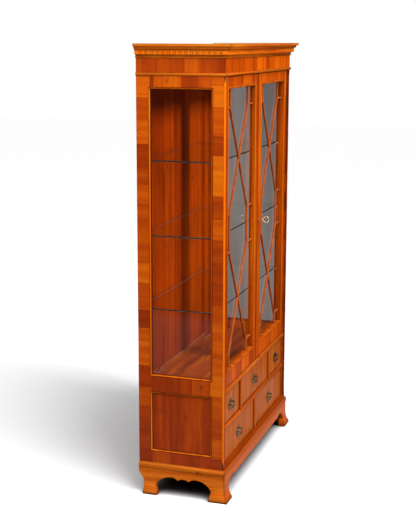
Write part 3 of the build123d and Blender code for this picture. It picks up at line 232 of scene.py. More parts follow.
# %% The grain group
# Streaks: how many to the metre along and across the grain, their detail, and the range of noise that counts.
BROAD = (1.6, 34.0, 3.0, 0.3, 0.7)
FINE = (5.0, 260.0, 2.0, 0.25, 0.75)
PORES = (22.0, 1100.0, 1.0, 0.58, 0.75)
BROAD_SHARE = 0.66
FINE_RISE = 0.5
PORE_DEPTH = 0.8
BEND_SCALE = 9.0
# Knots: cells to the metre, and how far the knot and the halo round it reach in their cell.
KNOT_CELLS = (17.0, 26.0, 26.0)
KNOT_REACH = (0.05, 0.17)
HALO_REACH = (0.1, 0.42)
HALO_SHARE = 0.35
CELLS = "ShaderNodeTexVoronoi"


def streaks(point, along, across, detail, low, high):
    """Noise drawn out along the grain."""
    drawn = vector_step("MULTIPLY", point, (along, across, across))
    return noise(drawn, 1.0, detail).fit(low, high)


def make_grain():
    """Grain along X of the vector it is given, in metres: tone, fine lines, knots and relief."""
    inputs = ("Vector", "Wander", "Knots")
    tree, given, result = new_group("yew_grain", inputs, ("Tone", "Lines", "Knot", "Relief"))
    slow = noise(given["Vector"], BEND_SCALE, detail=1.0, output="Color")
    push = vector_step("SUBTRACT", slow, (0.5, 0.5, 0.5))
    bent = vector_step("ADD", given["Vector"], vector_step("SCALE", push, given["Wander"], "Scale"))
    fine = streaks(bent, *FINE)
    pores = streaks(bent, *PORES)
    tone = streaks(bent, *BROAD) * BROAD_SHARE + fine * (1 - BROAD_SHARE)
    inputs = {"Vector": vector_step("MULTIPLY", bent, KNOT_CELLS), "Scale": 1.0, "Randomness": 1.0}
    cells = node_values(tree, CELLS, inputs)
    chance = node_value(tree, "ShaderNodeSeparateColor", {0: cells["Color"]})
    spot = cells["Distance"].fit(*KNOT_REACH, 1.0, 0.0)
    halo = cells["Distance"].fit(*HALO_REACH, HALO_SHARE, 0.0)
    knot = larger(spot, halo) * (chance < given["Knots"])
    relief = fine * FINE_RISE - pores * PORE_DEPTH
    send(tree, result, {"Tone": tone, "Lines": pores, "Knot": knot, "Relief": relief})
    return tree


GRAIN = make_grain()
print("group", GRAIN.name)

# %% [markdown]
# ## Veneer in blocks
# Crossbanding is veneer cut across the grain and laid in short blocks side by side, each a little lighter or
# darker than the next. A one-dimensional cell pattern along the band gives each block a random tone, and the
# distance to the cell's edge gives the thin glue line.

# %% The block group
BLOCK_RANDOMNESS = 0.75
BLOCK_SHIFT = 7.0
GLUE_LINE = (0.0003, 0.0012)


def make_blocks():
    """Blocks along a line: a random tone and shift for each, and the line where two meet."""
    tree, given, result = new_group("veneer_blocks", ("Along", "Length", "Seed"), ("Tone", "Shift", "Line"))
    along = given["Along"] / given["Length"] + given["Seed"]
    cell = {"W": along, "Scale": 1.0, "Randomness": BLOCK_RANDOMNESS}
    line = {"voronoi_dimensions": "1D"}
    block = node_value(tree, CELLS, cell, "Color", **line)
    edge = node_value(tree, CELLS, cell, "Distance", **line, feature="DISTANCE_TO_EDGE")
    parts = node_values(tree, "ShaderNodeSeparateColor", {0: block})
    glue = (edge * given["Length"]).fit(*GLUE_LINE, 1.0, 0.0)
    send(tree, result, {"Tone": parts["Red"], "Shift": parts["Green"] * BLOCK_SHIFT, "Line": glue})
    return tree


BLOCKS = make_blocks()
print("group", BLOCKS.name)

# %% [markdown]
# ## Painted shade and stain
# Corners are darkened as painted shade: ambient occlusion measures how closed in a point is, so it finds
# the corners. Along convex edges a dark stain is laid, as the maker rubs it in before the lacquer, and a
# slow noise keeps both from being even.

# %% The shade and stain group
SHADE_AND_STAIN_SAMPLES = 8
EDGE_REACH = 0.006
CORNER_RANGE = (0.45, 0.92)
EDGE_RANGE = (0.4, 0.95)
PATCH_SCALE = 14.0
PATCH_RANGE = (0.3, 0.7)
PATCH_LEAST = 0.6


def make_shade_and_stain():
    """How dark a point is made: painted shade most in corners, stain less along edges, never quite even."""
    tree, given, result = new_group("corner_shade_edge_stain", ("Vector", "Reach", "Edges"), ("CornerShadeEdgeStain",))
    # Painted shade: the more closed in a point is, the darker it is made.
    corner = openness(tree, given["Reach"], samples=SHADE_AND_STAIN_SAMPLES).fit(*CORNER_RANGE, 1.0, 0.0)
    bared = openness(tree, EDGE_REACH, samples=SHADE_AND_STAIN_SAMPLES, inside=True, only_local=True)
    edge = bared.fit(*EDGE_RANGE, 1.0, 0.0) * given["Edges"]
    patchy = noise(given["Vector"], PATCH_SCALE, detail=2.0).fit(*PATCH_RANGE, PATCH_LEAST, 1.0)
    send(tree, result, {"CornerShadeEdgeStain": larger(corner, edge) * patchy})
    return tree


SHADE_AND_STAIN = make_shade_and_stain()
print("group", SHADE_AND_STAIN.name)

# %% [markdown]
# ## Lacquered wood
# All the show wood shares one recipe. A pattern says, for each point, how light the wood is, where its fine
# lines and knots are and where two pieces of veneer meet. The recipe turns the tone into colour, lays the
# darker marks over it, and gives the lacquer its soft gloss and a trace of grain in the relief.

# %% The wood recipe
SATIN = 0.36
GLOSS = 0.08
LACQUER = 0.03
LACQUER_ROUGHNESS = 0.2
LINE_ROUGHNESS = 0.12
GRAIN_RELIEF = 0.0003
LINE_COLOUR = tint(105, 38, 8)
# One dark colour for painted shade and for stain.
SHADE_AND_STAIN_COLOUR = tint(70, 24, 6)
# Marks in the order in which they cover the wood: how strongly, and in what colour.
COVERS = {
    "Lines": (0.35, LINE_COLOUR),
    "Knot": (0.8, tint(78, 26, 6)),
    "Joint": (0.55, LINE_COLOUR),
    # The dark mark: painted shade along the beads, round and beside the doors and low on the back, and
    # elsewhere darker feet and a dark line at the front corner.
    "ShadeAndStain": (1.0, SHADE_AND_STAIN_COLOUR),
    "Pale": (1.0, tint(214, 150, 120)),
    "Bare": (1.0, tint(226, 198, 154)),
}
PLAIN = (1.0, 1.0, 1.0)


def empty_material(name):
    """A material with nothing in its tree, and the tree."""
    material = bpy.data.materials.new(name)
    material.use_nodes = True
    material.node_tree.nodes.clear()
    return material, material.node_tree


def new_material(name):
    """A material with its shader and output, and the point's place on the object."""
    material, tree = empty_material(name)
    shader = put(tree, "ShaderNodeBsdfPrincipled", {})
    output = put(tree, "ShaderNodeOutputMaterial", {"Surface": shader.outputs[0]})
    return material, tree, shader, output, object_place(tree)


def object_place(tree):
    """The point's place on the object."""
    return node_value(tree, "ShaderNodeTexCoord", {}, "Object")


def toned(palette, tone):
    """The same palette with each colour's red, green and blue made stronger or weaker."""
    return [(place, (*[min(c * k, 1.0) for c, k in zip(colour, tone)], 1.0)) for place, colour in palette]


def lacquered(
    name, pattern, palette, tone=PLAIN, shade_and_stain=0.6, reach=0.02, edges=0.5,
    satin=SATIN, gloss=GLOSS, lacquer=LACQUER,
):
    """A wood finish from a pattern of marks and a palette that runs from dark to light."""
    material, tree, shader, _, point = new_material(name)
    marks = pattern(*parts_of(point))
    colour = ramp(marks["Tone"], toned(palette, tone))
    for mark, (share, cover) in COVERS.items():
        if mark in marks:
            colour = (marks[mark] * share).blend_colours(colour, cover)
    # Painted shade in corners and stain along convex edges darken the colour, by the share given for both.
    dark = use_group(tree, SHADE_AND_STAIN, {"Vector": point, "Reach": reach, "Edges": edges})["CornerShadeEdgeStain"]
    rough = marks["Lines"] * LINE_ROUGHNESS + satin
    if "Matt" in marks:
        rough = marks["Matt"].blend(rough, 1.0)
    bump = {"Height": marks["Relief"], "Distance": GRAIN_RELIEF, "Strength": 0.5}
    send(tree, shader, {
        "Base Color": (dark * shade_and_stain).blend_colours(colour, SHADE_AND_STAIN_COLOUR),
        "Roughness": rough,
        "Normal": node_value(tree, "ShaderNodeBump", bump),
        "Specular IOR Level": gloss,
        "Coat Weight": lacquer,
        "Coat Roughness": LACQUER_ROUGHNESS,
    })
    return material


def faces_front(tree, share=0.3):
    """One on faces that look to the front, chamfers among them unless the share is high."""
    return parts_of(node_value(tree, "ShaderNodeTexCoord", {}, "Normal"))[1] < -share


def grain(along, across, depth, wander=0.012, knots=0.06):
    """Grain along one value, with the other two across it."""
    inputs = {"Vector": vector(along, across, depth), "Wander": wander, "Knots": knots}
    return use_group(along.tree, GRAIN, inputs)


def banded(along, across, depth, length, seed, spread=0.62, knots=0.08):
    """Veneer blocks side by side, with the grain across the band. Spread is how far their tones differ."""
    blocks = use_group(along.tree, BLOCKS, {"Along": across, "Length": length, "Seed": seed})
    marks = grain(along + blocks["Shift"], across, depth, knots=knots)
    marks["Tone"] = marks["Tone"] * (1 - spread) + blocks["Tone"] * spread
    marks["Joint"] = blocks["Line"]
    return marks


print("recipe ready")

# %% [markdown]
# ## The crossbanded sides
# Each side is a frame of stiles and rails round a window and a lower panel. On the stiles the blocks are
# stacked and their grain lies level. On the rails and the frieze the blocks stand side by side and their
# grain is upright. The lower panel is one sheet, redder and full of pin knots.

# %% Side finish
# Widths that no box gives: the rebate that a bead fills, how far a pane reaches under it, the board's own.
SIDE_REBATE = 0.0065
GLASS_REACH = 0.006
CHAMFER_DEPTH = 0.0046
SIDE_THICKNESS = 0.02
PANEL_HEIGHT = 0.25
STILE_INNER = (GLASS_HIGH.y - GLASS_LOW.y) / 2 - GLASS_REACH
WINDOW = (GLASS_LOW.z + GLASS_REACH, GLASS_HIGH.z - GLASS_REACH)
PANEL_LOW = BEADS_LOW.z + SIDE_REBATE
PANEL = (PANEL_LOW, PANEL_LOW + PANEL_HEIGHT)
# Lengths of the blocks, and steps of their seed from side to side, from stile to stile and from rail to rail.
RAIL_BLOCK = 0.062
STILE_BLOCK = 0.085
SIDE_STEP = 9.1
STILE_STEP = 4.3
RAIL_STEP = 5.37
# The front stile is lighter than the back one, the lowest rail and the frieze darker than the other rails.
FRONT_STILE_LIFT = 0.11
LOW_RAIL_SHADE = 0.35
FRIEZE_SHADE = 0.15
PANEL_SHARE = 0.6
# The chamfer's painted highlight: a share of the grain's tone over a least tone.
CHAMFER_SHARE = 0.2
CHAMFER_LEAST = 0.75
# Dark lines, as painted shade along the beads and beside the doors, and a dark line at the front corner: how
# strong they are, and the distances at which they begin to fade and end.
LINE_STRENGTH = 0.85
SIDE_LINE = (0.0006, 0.003)
CORNER_LINE = (0.001, 0.0045, 0.8, 0.0)
INNER_LINE = (0.001, 0.006, 0.8, 0.0)
SIDE_PALETTE = shades((0.0, 126, 38, 6), (0.35, 164, 58, 8), (0.65, 196, 82, 10), (1.0, 228, 118, 18))


def outside(off_middle, z, low, top):
    """How far a point lies outside a field of the side: the larger of its distances past the edges."""
    return larger(off_middle - STILE_INNER, abs(z - (low + top) / 2) - (top - low) / 2)


def bead_lines(off_middle, z, fade):
    """Painted shade: dark lines along both edges of the beads, where they meet the frame and the glass."""
    fields = [outside(off_middle, z, *field) for field in (WINDOW, PANEL)]
    edges = [abs(away - edge) for away in fields for edge in (0.0, SIDE_REBATE)]
    return reduce(larger, [edge.fit(*fade, LINE_STRENGTH, 0.0) for edge in edges])


def side_blocks(x, y, z, stile):
    """Blocks with a seed for each side, stile and rail, and the tones of some of them moved."""
    hand = (y - Y_MIDDLE).step("SIGN")
    in_frieze = z > FRIEZE_BOTTOM
    storey = (z > PANEL[1]) + (z > WINDOW[1]) + in_frieze
    own = x.step("SIGN") * SIDE_STEP
    seed = stile.blend(own + storey * RAIL_STEP, hand * STILE_STEP + own)
    length = stile.blend(RAIL_BLOCK, STILE_BLOCK)
    marks = banded(stile.blend(z, y), stile.blend(y, z), x, length, seed, knots=0.14)
    lift = hand.fit(-1.0, 1.0, FRONT_STILE_LIFT, 0.0) * stile
    kept = 1.0 - (z < PANEL_LOW) * LOW_RAIL_SHADE - in_frieze * FRIEZE_SHADE
    marks["Tone"] = (marks["Tone"] + lift) * kept
    return marks


def side_pattern(x, y, z):
    """Level grain on the stiles, upright grain on the rails, frieze and lower panel."""
    off_middle = abs(y - Y_MIDDLE)
    below_frieze = z < FRIEZE_BOTTOM
    panel = outside(off_middle, z, *PANEL) < 0.0
    front = faces_front(x.tree)
    marks = side_blocks(x, y, z, (off_middle > STILE_INNER) * below_frieze)
    plain = grain(z, y, x, wander=0.02, knots=0.3)
    panel_tone_and_strip_shade = plain["Tone"] * PANEL_SHARE
    bright = plain["Tone"] * CHAMFER_SHARE + CHAMFER_LEAST
    # The lower panel takes the dimmer tone, the chamfer a painted highlight, and the front strip the dimmer
    # tone again as painted shade.
    for where, tone in ((panel, panel_tone_and_strip_shade), (front, bright), (faces_front(x.tree, share=0.9), panel_tone_and_strip_shade)):
        marks["Tone"] = where.blend(marks["Tone"], tone)
    marks["Knot"] = panel.blend(marks["Knot"], plain["Knot"])
    marks["Joint"] = larger(panel, front).blend(marks["Joint"], 0.0)
    marks["Matt"] = front
    corner = (y - (Y_FRONT + CHAMFER_DEPTH)).fit(*CORNER_LINE) * larger(below_frieze - front, 0.0)
    # The inner line is painted shade beside the doors, and the bead lines are painted shade along the beads.
    inner = (abs(x) - (HALF_WIDTH - SIDE_THICKNESS)).fit(*INNER_LINE) * front
    marks["ShadeAndStain"] = larger(bead_lines(off_middle, z, SIDE_LINE), larger(corner, inner))
    return marks


side_yew = lacquered("crossbanded_side", side_pattern, SIDE_PALETTE, (1.0, 0.92, 0.35), shade_and_stain=0.5, edges=0.6)
print("finish", side_yew.name)

# %% [markdown]
# ## Frieze, doors and drawers
# The boards that face the front have upright veneer. On the frieze and the door rails it is laid in blocks.
# The drawer fronts are wider sheets with a quieter figure.

# %% Front finishes
FRONT_PALETTE = shades((0.0, 140, 46, 4), (0.4, 186, 76, 6), (0.7, 214, 98, 12), (1.0, 246, 142, 26))
DRAWER_PALETTE = shades((0.0, 158, 72, 24), (0.4, 190, 94, 32), (0.7, 205, 108, 42), (1.0, 222, 128, 58))
FRIEZE_BLOCK = 0.075
DOOR_BLOCK = 0.07
# Widths of the door frame's pieces, which no box gives.
DOOR_STILE = 0.05
DOOR_TOP_RAIL = 0.05
DOOR_BOTTOM_RAIL = 0.075
# Painted shade along the door's gaps and round its opening: where its dark lines begin to fade, and end.
DOOR_LINE = (0.0005, 0.003)
# Distances from upright edges are cut to this share, which makes the lines along them broader.
UPRIGHT_LINE = 0.5


def frieze_pattern(x, y, z):
    """Upright blocks along the frieze."""
    return banded(z, x, y, FRIEZE_BLOCK, seed=2.7, spread=0.5)


def door_pattern(x, y, z):
    """Streaky upright grain on stiles, upright blocks on rails, painted shade as dark lines along both edges.
    """
    foot = DOOR_LOW.z + DOOR_BOTTOM_RAIL
    top = DOOR_HIGH.z - DOOR_TOP_RAIL
    half = (abs(DOOR_LOW.x) - abs(DOOR_HIGH.x)) / 2
    off_middle = abs(abs(x) - (abs(DOOR_LOW.x) + abs(DOOR_HIGH.x)) / 2)
    rail = larger(z > top, z < foot) * (off_middle < half - DOOR_STILE)
    marks = banded(z, x, y, DOOR_BLOCK, seed=5.2, spread=0.5)
    plain = {"Joint": 0.0, **grain(z, x, y, wander=0.006, knots=0.05)}
    marks = {mark: rail.blend(plain[mark], marks[mark]) for mark in plain}
    lines = []
    for reach, low, high in ((half, DOOR_LOW.z, DOOR_HIGH.z), (half - DOOR_STILE, foot, top)):
        past_rail = abs(z - (low + high) / 2) - (high - low) / 2
        edge = abs(larger((off_middle - reach) * UPRIGHT_LINE, past_rail))
        lines.append(edge.fit(*DOOR_LINE, LINE_STRENGTH, 0.0))
    marks["ShadeAndStain"] = larger(*lines) * faces_front(x.tree)
    return marks


def drawer_pattern(x, y, z):
    """One sheet of upright veneer."""
    return grain(z, x, y, wander=0.016, knots=0.06)


MATT = {"gloss": 0.01, "lacquer": 0.0}
EDGED = {"shade_and_stain": 0.85, "edges": 0.8, **MATT}
frieze_yew = lacquered("frieze_veneer", frieze_pattern, FRONT_PALETTE, (1.02, 0.9, 0.25), shade_and_stain=0.4, **MATT)
door_yew = lacquered("door_veneer", door_pattern, FRONT_PALETTE, (0.94, 0.8, 0.6), reach=0.012, **EDGED)
drawer_tone = (0.78, 0.72, 0.52)
drawer_yew = lacquered("drawer_veneer", drawer_pattern, DRAWER_PALETTE, drawer_tone, reach=0.015, **EDGED)
print("finishes", frieze_yew.name, door_yew.name, drawer_yew.name)

# %% [markdown]
# ## Mouldings, beads and bars
# Mouldings are solid wood with the grain along their length, so at the mitre it turns the corner. Whether a
# point belongs to the front length or to a side length follows from which face of the carcass it stands
# further from.

# %% Moulding finishes
MOULDING_PALETTE = shades((0.0, 158, 62, 8), (0.4, 196, 92, 16), (0.7, 212, 110, 24), (1.0, 234, 140, 40))
BEAD_PALETTE = shades((0.0, 186, 78, 8), (0.5, 224, 112, 16), (1.0, 246, 146, 34))
LATTICE_PALETTE = shades((0.0, 146, 62, 24), (0.5, 172, 82, 40), (1.0, 194, 106, 62))
RAIL_TONE = (0.72, 0.6, 0.8)
# Painted shade: the share of their tone that the front lengths of the base and brackets keep.
BASE_FRONT_SHADE = 0.35
BEAD_LINE = (0.0006, 0.0022)
BARE_REACH = 0.0005
FOOT_DARKENING = (0.0, 0.03, 0.75, 0.0)


def moulding_pattern(x, y, z, front_shade=1.0):
    """Grain along the front length or along a side length, parted at the mitre."""
    side = abs(x) - HALF_WIDTH > Y_FRONT - y
    marks = grain(side.blend(x, y), side.blend(y, x), z, wander=0.006, knots=0.03)
    # Painted shade: the front length keeps only a share of its tone.
    marks["Tone"] = marks["Tone"] * side.blend(front_shade, 1.0)
    return marks


def cornice_pattern(x, y, z):
    """The same grain, bare where the rim faces the top board."""
    bare = larger(abs(x) - HALF_WIDTH, Y_FRONT - y) < BARE_REACH
    return {**moulding_pattern(x, y, z), "Bare": bare}


def bead_pattern(x, y, z):
    """Fine, even grain for thin pieces, drawn out upright."""
    return grain(z, x, y, wander=0.004, knots=0.0)


def side_bead_pattern(x, y, z):
    """The same grain, with painted shade along both edges of the bead."""
    return {**bead_pattern(x, y, z), "ShadeAndStain": bead_lines(abs(y - Y_MIDDLE), z, BEAD_LINE)}


def base_pattern(x, y, z):
    """Grain of a moulding, with painted shade darkening the front."""
    return moulding_pattern(x, y, z, BASE_FRONT_SHADE)


def foot_pattern(x, y, z):
    """Grain of the base, darker towards the bottom of the feet."""
    return {**base_pattern(x, y, z), "ShadeAndStain": z.fit(*FOOT_DARKENING)}


def level_pattern(x, y, z):
    """Grain along the width of the cabinet."""
    return grain(x, y, z, wander=0.01, knots=0.04)


# Each finish: its pattern, palette and tone, then how strong the painted shade in corners and the stain on
# edges are, the shade's reach, and the edges' share.
MOULDINGS = {
    "cornice_yew": (cornice_pattern, MOULDING_PALETTE, PLAIN, 0.95, 0.01, 0.5),
    "dentil_yew": (moulding_pattern, MOULDING_PALETTE, (1.6, 1.5, 1.0), 0.75, 0.006, 0.0),
    "base_yew": (base_pattern, MOULDING_PALETTE, (0.88, 0.84, 1.0), 0.9, 0.012, 0.5),
    "bracket_yew": (foot_pattern, MOULDING_PALETTE, (1.25, 1.3, 1.6), 0.8, 0.012, 0.7),
    "side_bead_yew": (side_bead_pattern, BEAD_PALETTE, (1.0, 0.86, 0.5), 0.3, 0.004, 0.0),
    "bead_yew": (bead_pattern, BEAD_PALETTE, (0.75, 0.64, 0.7), 0.8, 0.006, 0.3),
    "lattice_yew": (bead_pattern, LATTICE_PALETTE, PLAIN, 0.5, 0.008, 0.5),
    "rail_yew": (level_pattern, MOULDING_PALETTE, RAIL_TONE, 0.8, 0.012, 0.5),
    "divider_yew": (bead_pattern, MOULDING_PALETTE, RAIL_TONE, 0.8, 0.012, 0.5),
}
yews = {name: lacquered(name, *values, **MATT) for name, values in MOULDINGS.items()}
print("finishes", *yews)

# %% [markdown]
# ## Inside
# The back is made of upright boards of yew veneer, a touch redder than the outside. The drawer boxes and the
# glue blocks are pale, unpolished wood.

# %% Inner finishes
INNER_PALETTE = shades((0.0, 118, 36, 4), (0.4, 160, 56, 4), (0.7, 190, 74, 6), (1.0, 216, 100, 12))
PALE_PALETTE = shades((0.0, 176, 138, 92), (0.5, 204, 168, 118), (1.0, 222, 190, 142))
BACK_BLOCK = 0.13
PALE_LINE = 0.003
# The back darkens towards the deck from this height over it, to this share of painted shade.
BACK_SHADE_HEIGHT = 0.4
BACK_SHADE = 0.45


def back_pattern(x, y, z):
    """Wide upright boards, darkened towards the deck as painted shade, with a pale line just over it."""
    marks = banded(z, x, y, BACK_BLOCK, seed=1.4, spread=0.4)
    line = abs(z - (DECK_TOP + PALE_LINE / 2)) < PALE_LINE / 2
    marks["Pale"] = line * faces_front(x.tree)
    marks["ShadeAndStain"] = z.fit(DECK_TOP, DECK_TOP + BACK_SHADE_HEIGHT, BACK_SHADE, 0.0)
    return marks


def drawer_box_pattern(x, y, z):
    """Grain along the depth of the drawer."""
    return grain(y, z, x, wander=0.008, knots=0.02)


DULL = {"gloss": 0.005, "lacquer": 0.0}
back_yew = lacquered("back_boards", back_pattern, INNER_PALETTE, (1.3, 1.0, 0.3), shade_and_stain=0.4, **DULL)
inner_yew = lacquered("inner_boards", level_pattern, INNER_PALETTE, (0.75, 0.85, 0.6), shade_and_stain=0.4, **DULL)
pale_wood = lacquered("pale_wood", drawer_box_pattern, PALE_PALETTE, shade_and_stain=0.5, satin=0.6, **DULL)
print("finishes", back_yew.name, inner_yew.name, pale_wood.name)

# %% [markdown]
# ## Glass
# A pane is clear, with a faint green in its depth. Light from the lamps has to reach the boards behind it, so
# for shadow rays and for light that has already bounced the pane is simply open. The camera sees real
# refraction, and of a pane's two faces only the one that the light meets from outside mirrors.

# %% Glass finishes
PANE_TINT = tint(250, 253, 250)
SHELF_TINT = tint(247, 253, 250)
SHELF_EDGE = tint(1, 3, 2)
GLASS_BEND = 1.5
SMEAR_SCALE = 5.0
SMEAR_RANGE = (0.45, 0.8)


def glass(name, colour, smear, edge=None):
    """Clear glass that lets lamplight through, with faint smears in its polish and perhaps a dark edge."""
    material, tree, shader, output, point = new_material(name)
    surface = shader.outputs[0]
    base = colour
    shape = node_values(tree, "ShaderNodeNewGeometry", {})
    if edge:
        flat = abs(parts_of(shape["True Normal"])[2]) > 0.5
        base = flat.blend_colours(edge, colour)
    else:
        bend = {"Color": colour, "IOR": GLASS_BEND, "Roughness": 0.0}
        bent = node_value(tree, "ShaderNodeBsdfRefraction", bend)
        surface = shape["Backfacing"].blend_shaders(surface, bent)
    send(tree, shader, {
        "Base Color": base,
        "Roughness": noise(point, SMEAR_SCALE, detail=3.0).fit(*SMEAR_RANGE, 0.0, smear),
        "Transmission Weight": 1.0,
        "IOR": GLASS_BEND,
    })
    path = node_values(tree, "ShaderNodeLightPath", {})
    open_rays = larger(path["Is Shadow Ray"], path["Is Diffuse Ray"])
    clear = node_value(tree, "ShaderNodeBsdfTransparent", {"Color": colour})
    send(tree, output, {"Surface": open_rays.blend_shaders(surface, clear)})
    return material


pane_glass = glass("pane_glass", PANE_TINT, smear=0.015)
shelf_glass = glass("shelf_glass", SHELF_TINT, smear=0.01, edge=SHELF_EDGE)
print("finishes", pane_glass.name, shelf_glass.name)

# %% [markdown]
# ## Brass
# The key and the lock are lacquered brass with a few darker spots, and the hinges are duller. The pulls are
# antique: brass darkened all over, then rubbed so that the raised parts shine and the hollows stay dark.

# %% Metal finishes
HOLLOW_REACH = 0.004
HOLLOW_SHARE = 0.9
TARNISH_RANGE = (0.35, 0.7)
TARNISH_ROUGHNESS = 0.25
TARNISH_RELIEF = 0.0002


def metal(name, bright, dark, roughness, tarnish, scale):
    """Brass whose tarnish gathers in hollows and in soft patches."""
    material, tree, shader, _, point = new_material(name)
    patch = noise(point, scale, detail=4.0)
    # In brass the group's darkening of hollows is the metal's own tarnish.
    hollow = use_group(tree, SHADE_AND_STAIN, {"Vector": point, "Reach": HOLLOW_REACH, "Edges": 0.0})["CornerShadeEdgeStain"]
    dulled = larger(patch.fit(*TARNISH_RANGE, 0.0, tarnish), hollow * HOLLOW_SHARE)
    bump = {"Height": patch, "Distance": TARNISH_RELIEF, "Strength": 0.4}
    send(tree, shader, {
        "Base Color": dulled.blend_colours(bright, dark),
        "Roughness": dulled * TARNISH_ROUGHNESS + roughness,
        "Normal": node_value(tree, "ShaderNodeBump", bump),
        "Metallic": 1.0,
    })
    return material


# Each brass: its bright and dark colours, its roughness, how far it tarnishes, and patches to the metre.
brass = metal("lacquered_brass", tint(250, 222, 168), tint(150, 104, 52), 0.22, 0.3, 160.0)
antique_brass = metal("antique_brass", tint(132, 92, 48), tint(30, 20, 10), 0.3, 0.9, 240.0)
hinge_brass = metal("hinge_brass", tint(132, 84, 36), tint(64, 36, 14), 0.34, 0.9, 160.0)
print("finishes", brass.name, antique_brass.name, hinge_brass.name)

# %% [markdown]
# ## Put the finishes on the boards
# The boards come with plain placeholder materials, so each slot is simply given the right finish. Two
# modifiers soften every wooden edge: a weld, because each face of the frame is loose from the next, and a
# narrow bevel, which gives the edges the small highlight that real ones have.

# %% Finish the nodes
# Each finish, and how the names of its nodes begin.
FINISHES = {
    side_yew: ("side_frame",),
    yews["side_bead_yew"]: ("side_beads",),
    yews["bead_yew"]: ("door_beads",),
    yews["lattice_yew"]: ("door_lattice",),
    back_yew: ("back_panel",),
    inner_yew: ("top_board", "ceiling_board", "deck_board", "bottom_board"),
    yews["rail_yew"]: ("drawer_rail_board", "waist_moulding"),
    yews["divider_yew"]: ("drawer_dividers",),
    frieze_yew: ("frieze_rail",),
    yews["cornice_yew"]: ("neck_moulding", "cornice"),
    yews["dentil_yew"]: ("dentil_band",),
    yews["base_yew"]: ("base_moulding",),
    yews["bracket_yew"]: ("front_bracket", "side_bracket"),
    door_yew: ("door_frame",),
    drawer_yew: ("drawer_front",),
    pale_wood: ("plinth_blocks", "drawer_box"),
    pane_glass: ("side_glass", "door_glass"),
    shelf_glass: ("glass_shelves",),
    hinge_brass: ("hinge_leaves", "door_hinges"),
    brass: ("bolt_plate", "door_bolt", "lock_case", "lock_bolt", "shelf_pins"),
}
UNBEVELLED = {pane_glass, shelf_glass, brass, hinge_brass}
WELD_REACH = 0.00002
# Width of the bevel, and how far an edge has to turn to get one.
SOFT_EDGE = (0.0008, math.radians(40))
SOFT_NOSE = (0.0012, math.radians(30))


def soften_edges(piece, width, turn):
    """A weld and a narrow bevel on every edge that turns further than an angle."""
    weld = piece.modifiers.new("weld", "WELD")
    weld.merge_threshold = WELD_REACH
    bevel = piece.modifiers.new("soft_edges", "BEVEL")
    bevel.width = width
    bevel.segments = 2
    bevel.limit_method = "ANGLE"
    bevel.angle_limit = turn


finished = 0
for finish, starts in FINISHES.items():
    for piece in [NODES[name] for name in NODES if name.startswith(starts)]:
        piece.data.materials.clear()
        piece.data.materials.append(finish)
        if finish not in UNBEVELLED:
            soften_edges(piece, *(SOFT_NOSE if finish is yews["lattice_yew"] else SOFT_EDGE))
        finished += 1
print("finished", finished, "of", len(NODES))

# %% [markdown]
# ## Surfaces of two parameters
# The small brass pieces are round, and the frame draws them with flat facets to stay light. Here they are
# made again as smooth surfaces. Each is a grid of points: one parameter runs along the piece, the other round
# it. The grid closes on itself round the piece, and its two ends are closed by a single point each.


# %% Grid helpers
def whole_turn(count):
    """Angles evenly round a circle."""
    return np.linspace(0, 2 * np.pi, count, endpoint=False)


def close_grid(points, first_tip, last_tip):
    """Faces for rings of points that close round, with a tip at each end: vertices and faces."""
    rings, around = points.shape[:2]
    index = np.arange(rings * around).reshape(rings, around)
    turned = np.roll(index, -1, axis=1)
    quads = np.stack([index[:-1], turned[:-1], turned[1:], index[1:]], axis=-1).reshape(-1, 4)
    first = np.stack([np.full(around, rings * around), turned[0], index[0]], axis=-1)
    last = np.stack([np.full(around, rings * around + 1), index[-1], turned[-1]], axis=-1)
    vertices = np.concatenate([points.reshape(-1, 3), [first_tip], [last_tip]])
    return vertices, quads.tolist() + first.tolist() + last.tolist()


def stacked_shape(half_widths, half_depths, heights, around):
    """Ovals stacked along Z, each with its own half width, half depth and height."""
    angles = whole_turn(around)
    x = half_widths[:, None] * np.cos(angles)
    y = half_depths[:, None] * np.sin(angles)
    points = np.stack([x, y, np.broadcast_to(heights[:, None], x.shape)], axis=-1)
    return close_grid(points, (0, 0, heights[0]), (0, 0, heights[-1]))


def turned_shape(profile, around):
    """A profile of (height, radius) pairs spun round Z."""
    heights, radii = np.array(profile).T
    return stacked_shape(radii, radii, heights, around)


def tube_shape(path, radii, around=20):
    """A tube whose middle line lies in XY, with its own radius at each point of the line."""
    heading = np.gradient(path, axis=0)
    heading /= np.linalg.norm(heading, axis=1)[:, None]
    outwards = np.stack([heading[:, 1], -heading[:, 0]], axis=-1)
    angles = whole_turn(around)
    flat = path[:, None] + (radii[:, None] * np.cos(angles))[..., None] * outwards[:, None]
    rise = radii[:, None] * np.sin(angles)
    points = np.concatenate([flat, rise[..., None]], axis=-1)
    return close_grid(points, (*path[0], 0), (*path[-1], 0))


def moved(shape, turn, place):
    """A shape turned by a matrix and set down at a place."""
    vertices, faces = shape
    return vertices @ np.array(turn).T + np.array(place), faces


def place_object(name, data):
    """A new object in the scene."""
    made = bpy.data.objects.new(name, data)
    bpy.context.scene.collection.objects.link(made)
    return made


def make_piece(name, shapes, finish, body, slot, *nodes):
    """One object from several shapes, smooth, facing outwards, riding on a body in place of its nodes."""
    vertices = []
    faces = []
    for points, corners in shapes:
        start = len(vertices)
        vertices += points.tolist()
        faces += [[corner + start for corner in face] for face in corners]
    mesh = bpy.data.meshes.new(name)
    mesh.from_pydata(vertices, [], faces)
    solid = bmesh.new()
    solid.from_mesh(mesh)
    bmesh.ops.recalc_face_normals(solid, faces=solid.faces)
    solid.to_mesh(mesh)
    solid.free()
    mesh.shade_smooth()
    mesh.set_sharp_from_angle(angle=math.radians(45))
    mesh.materials.append(finish)
    piece = place_object(name, mesh)
    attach(piece, body)
    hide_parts(*nodes)
    return piece


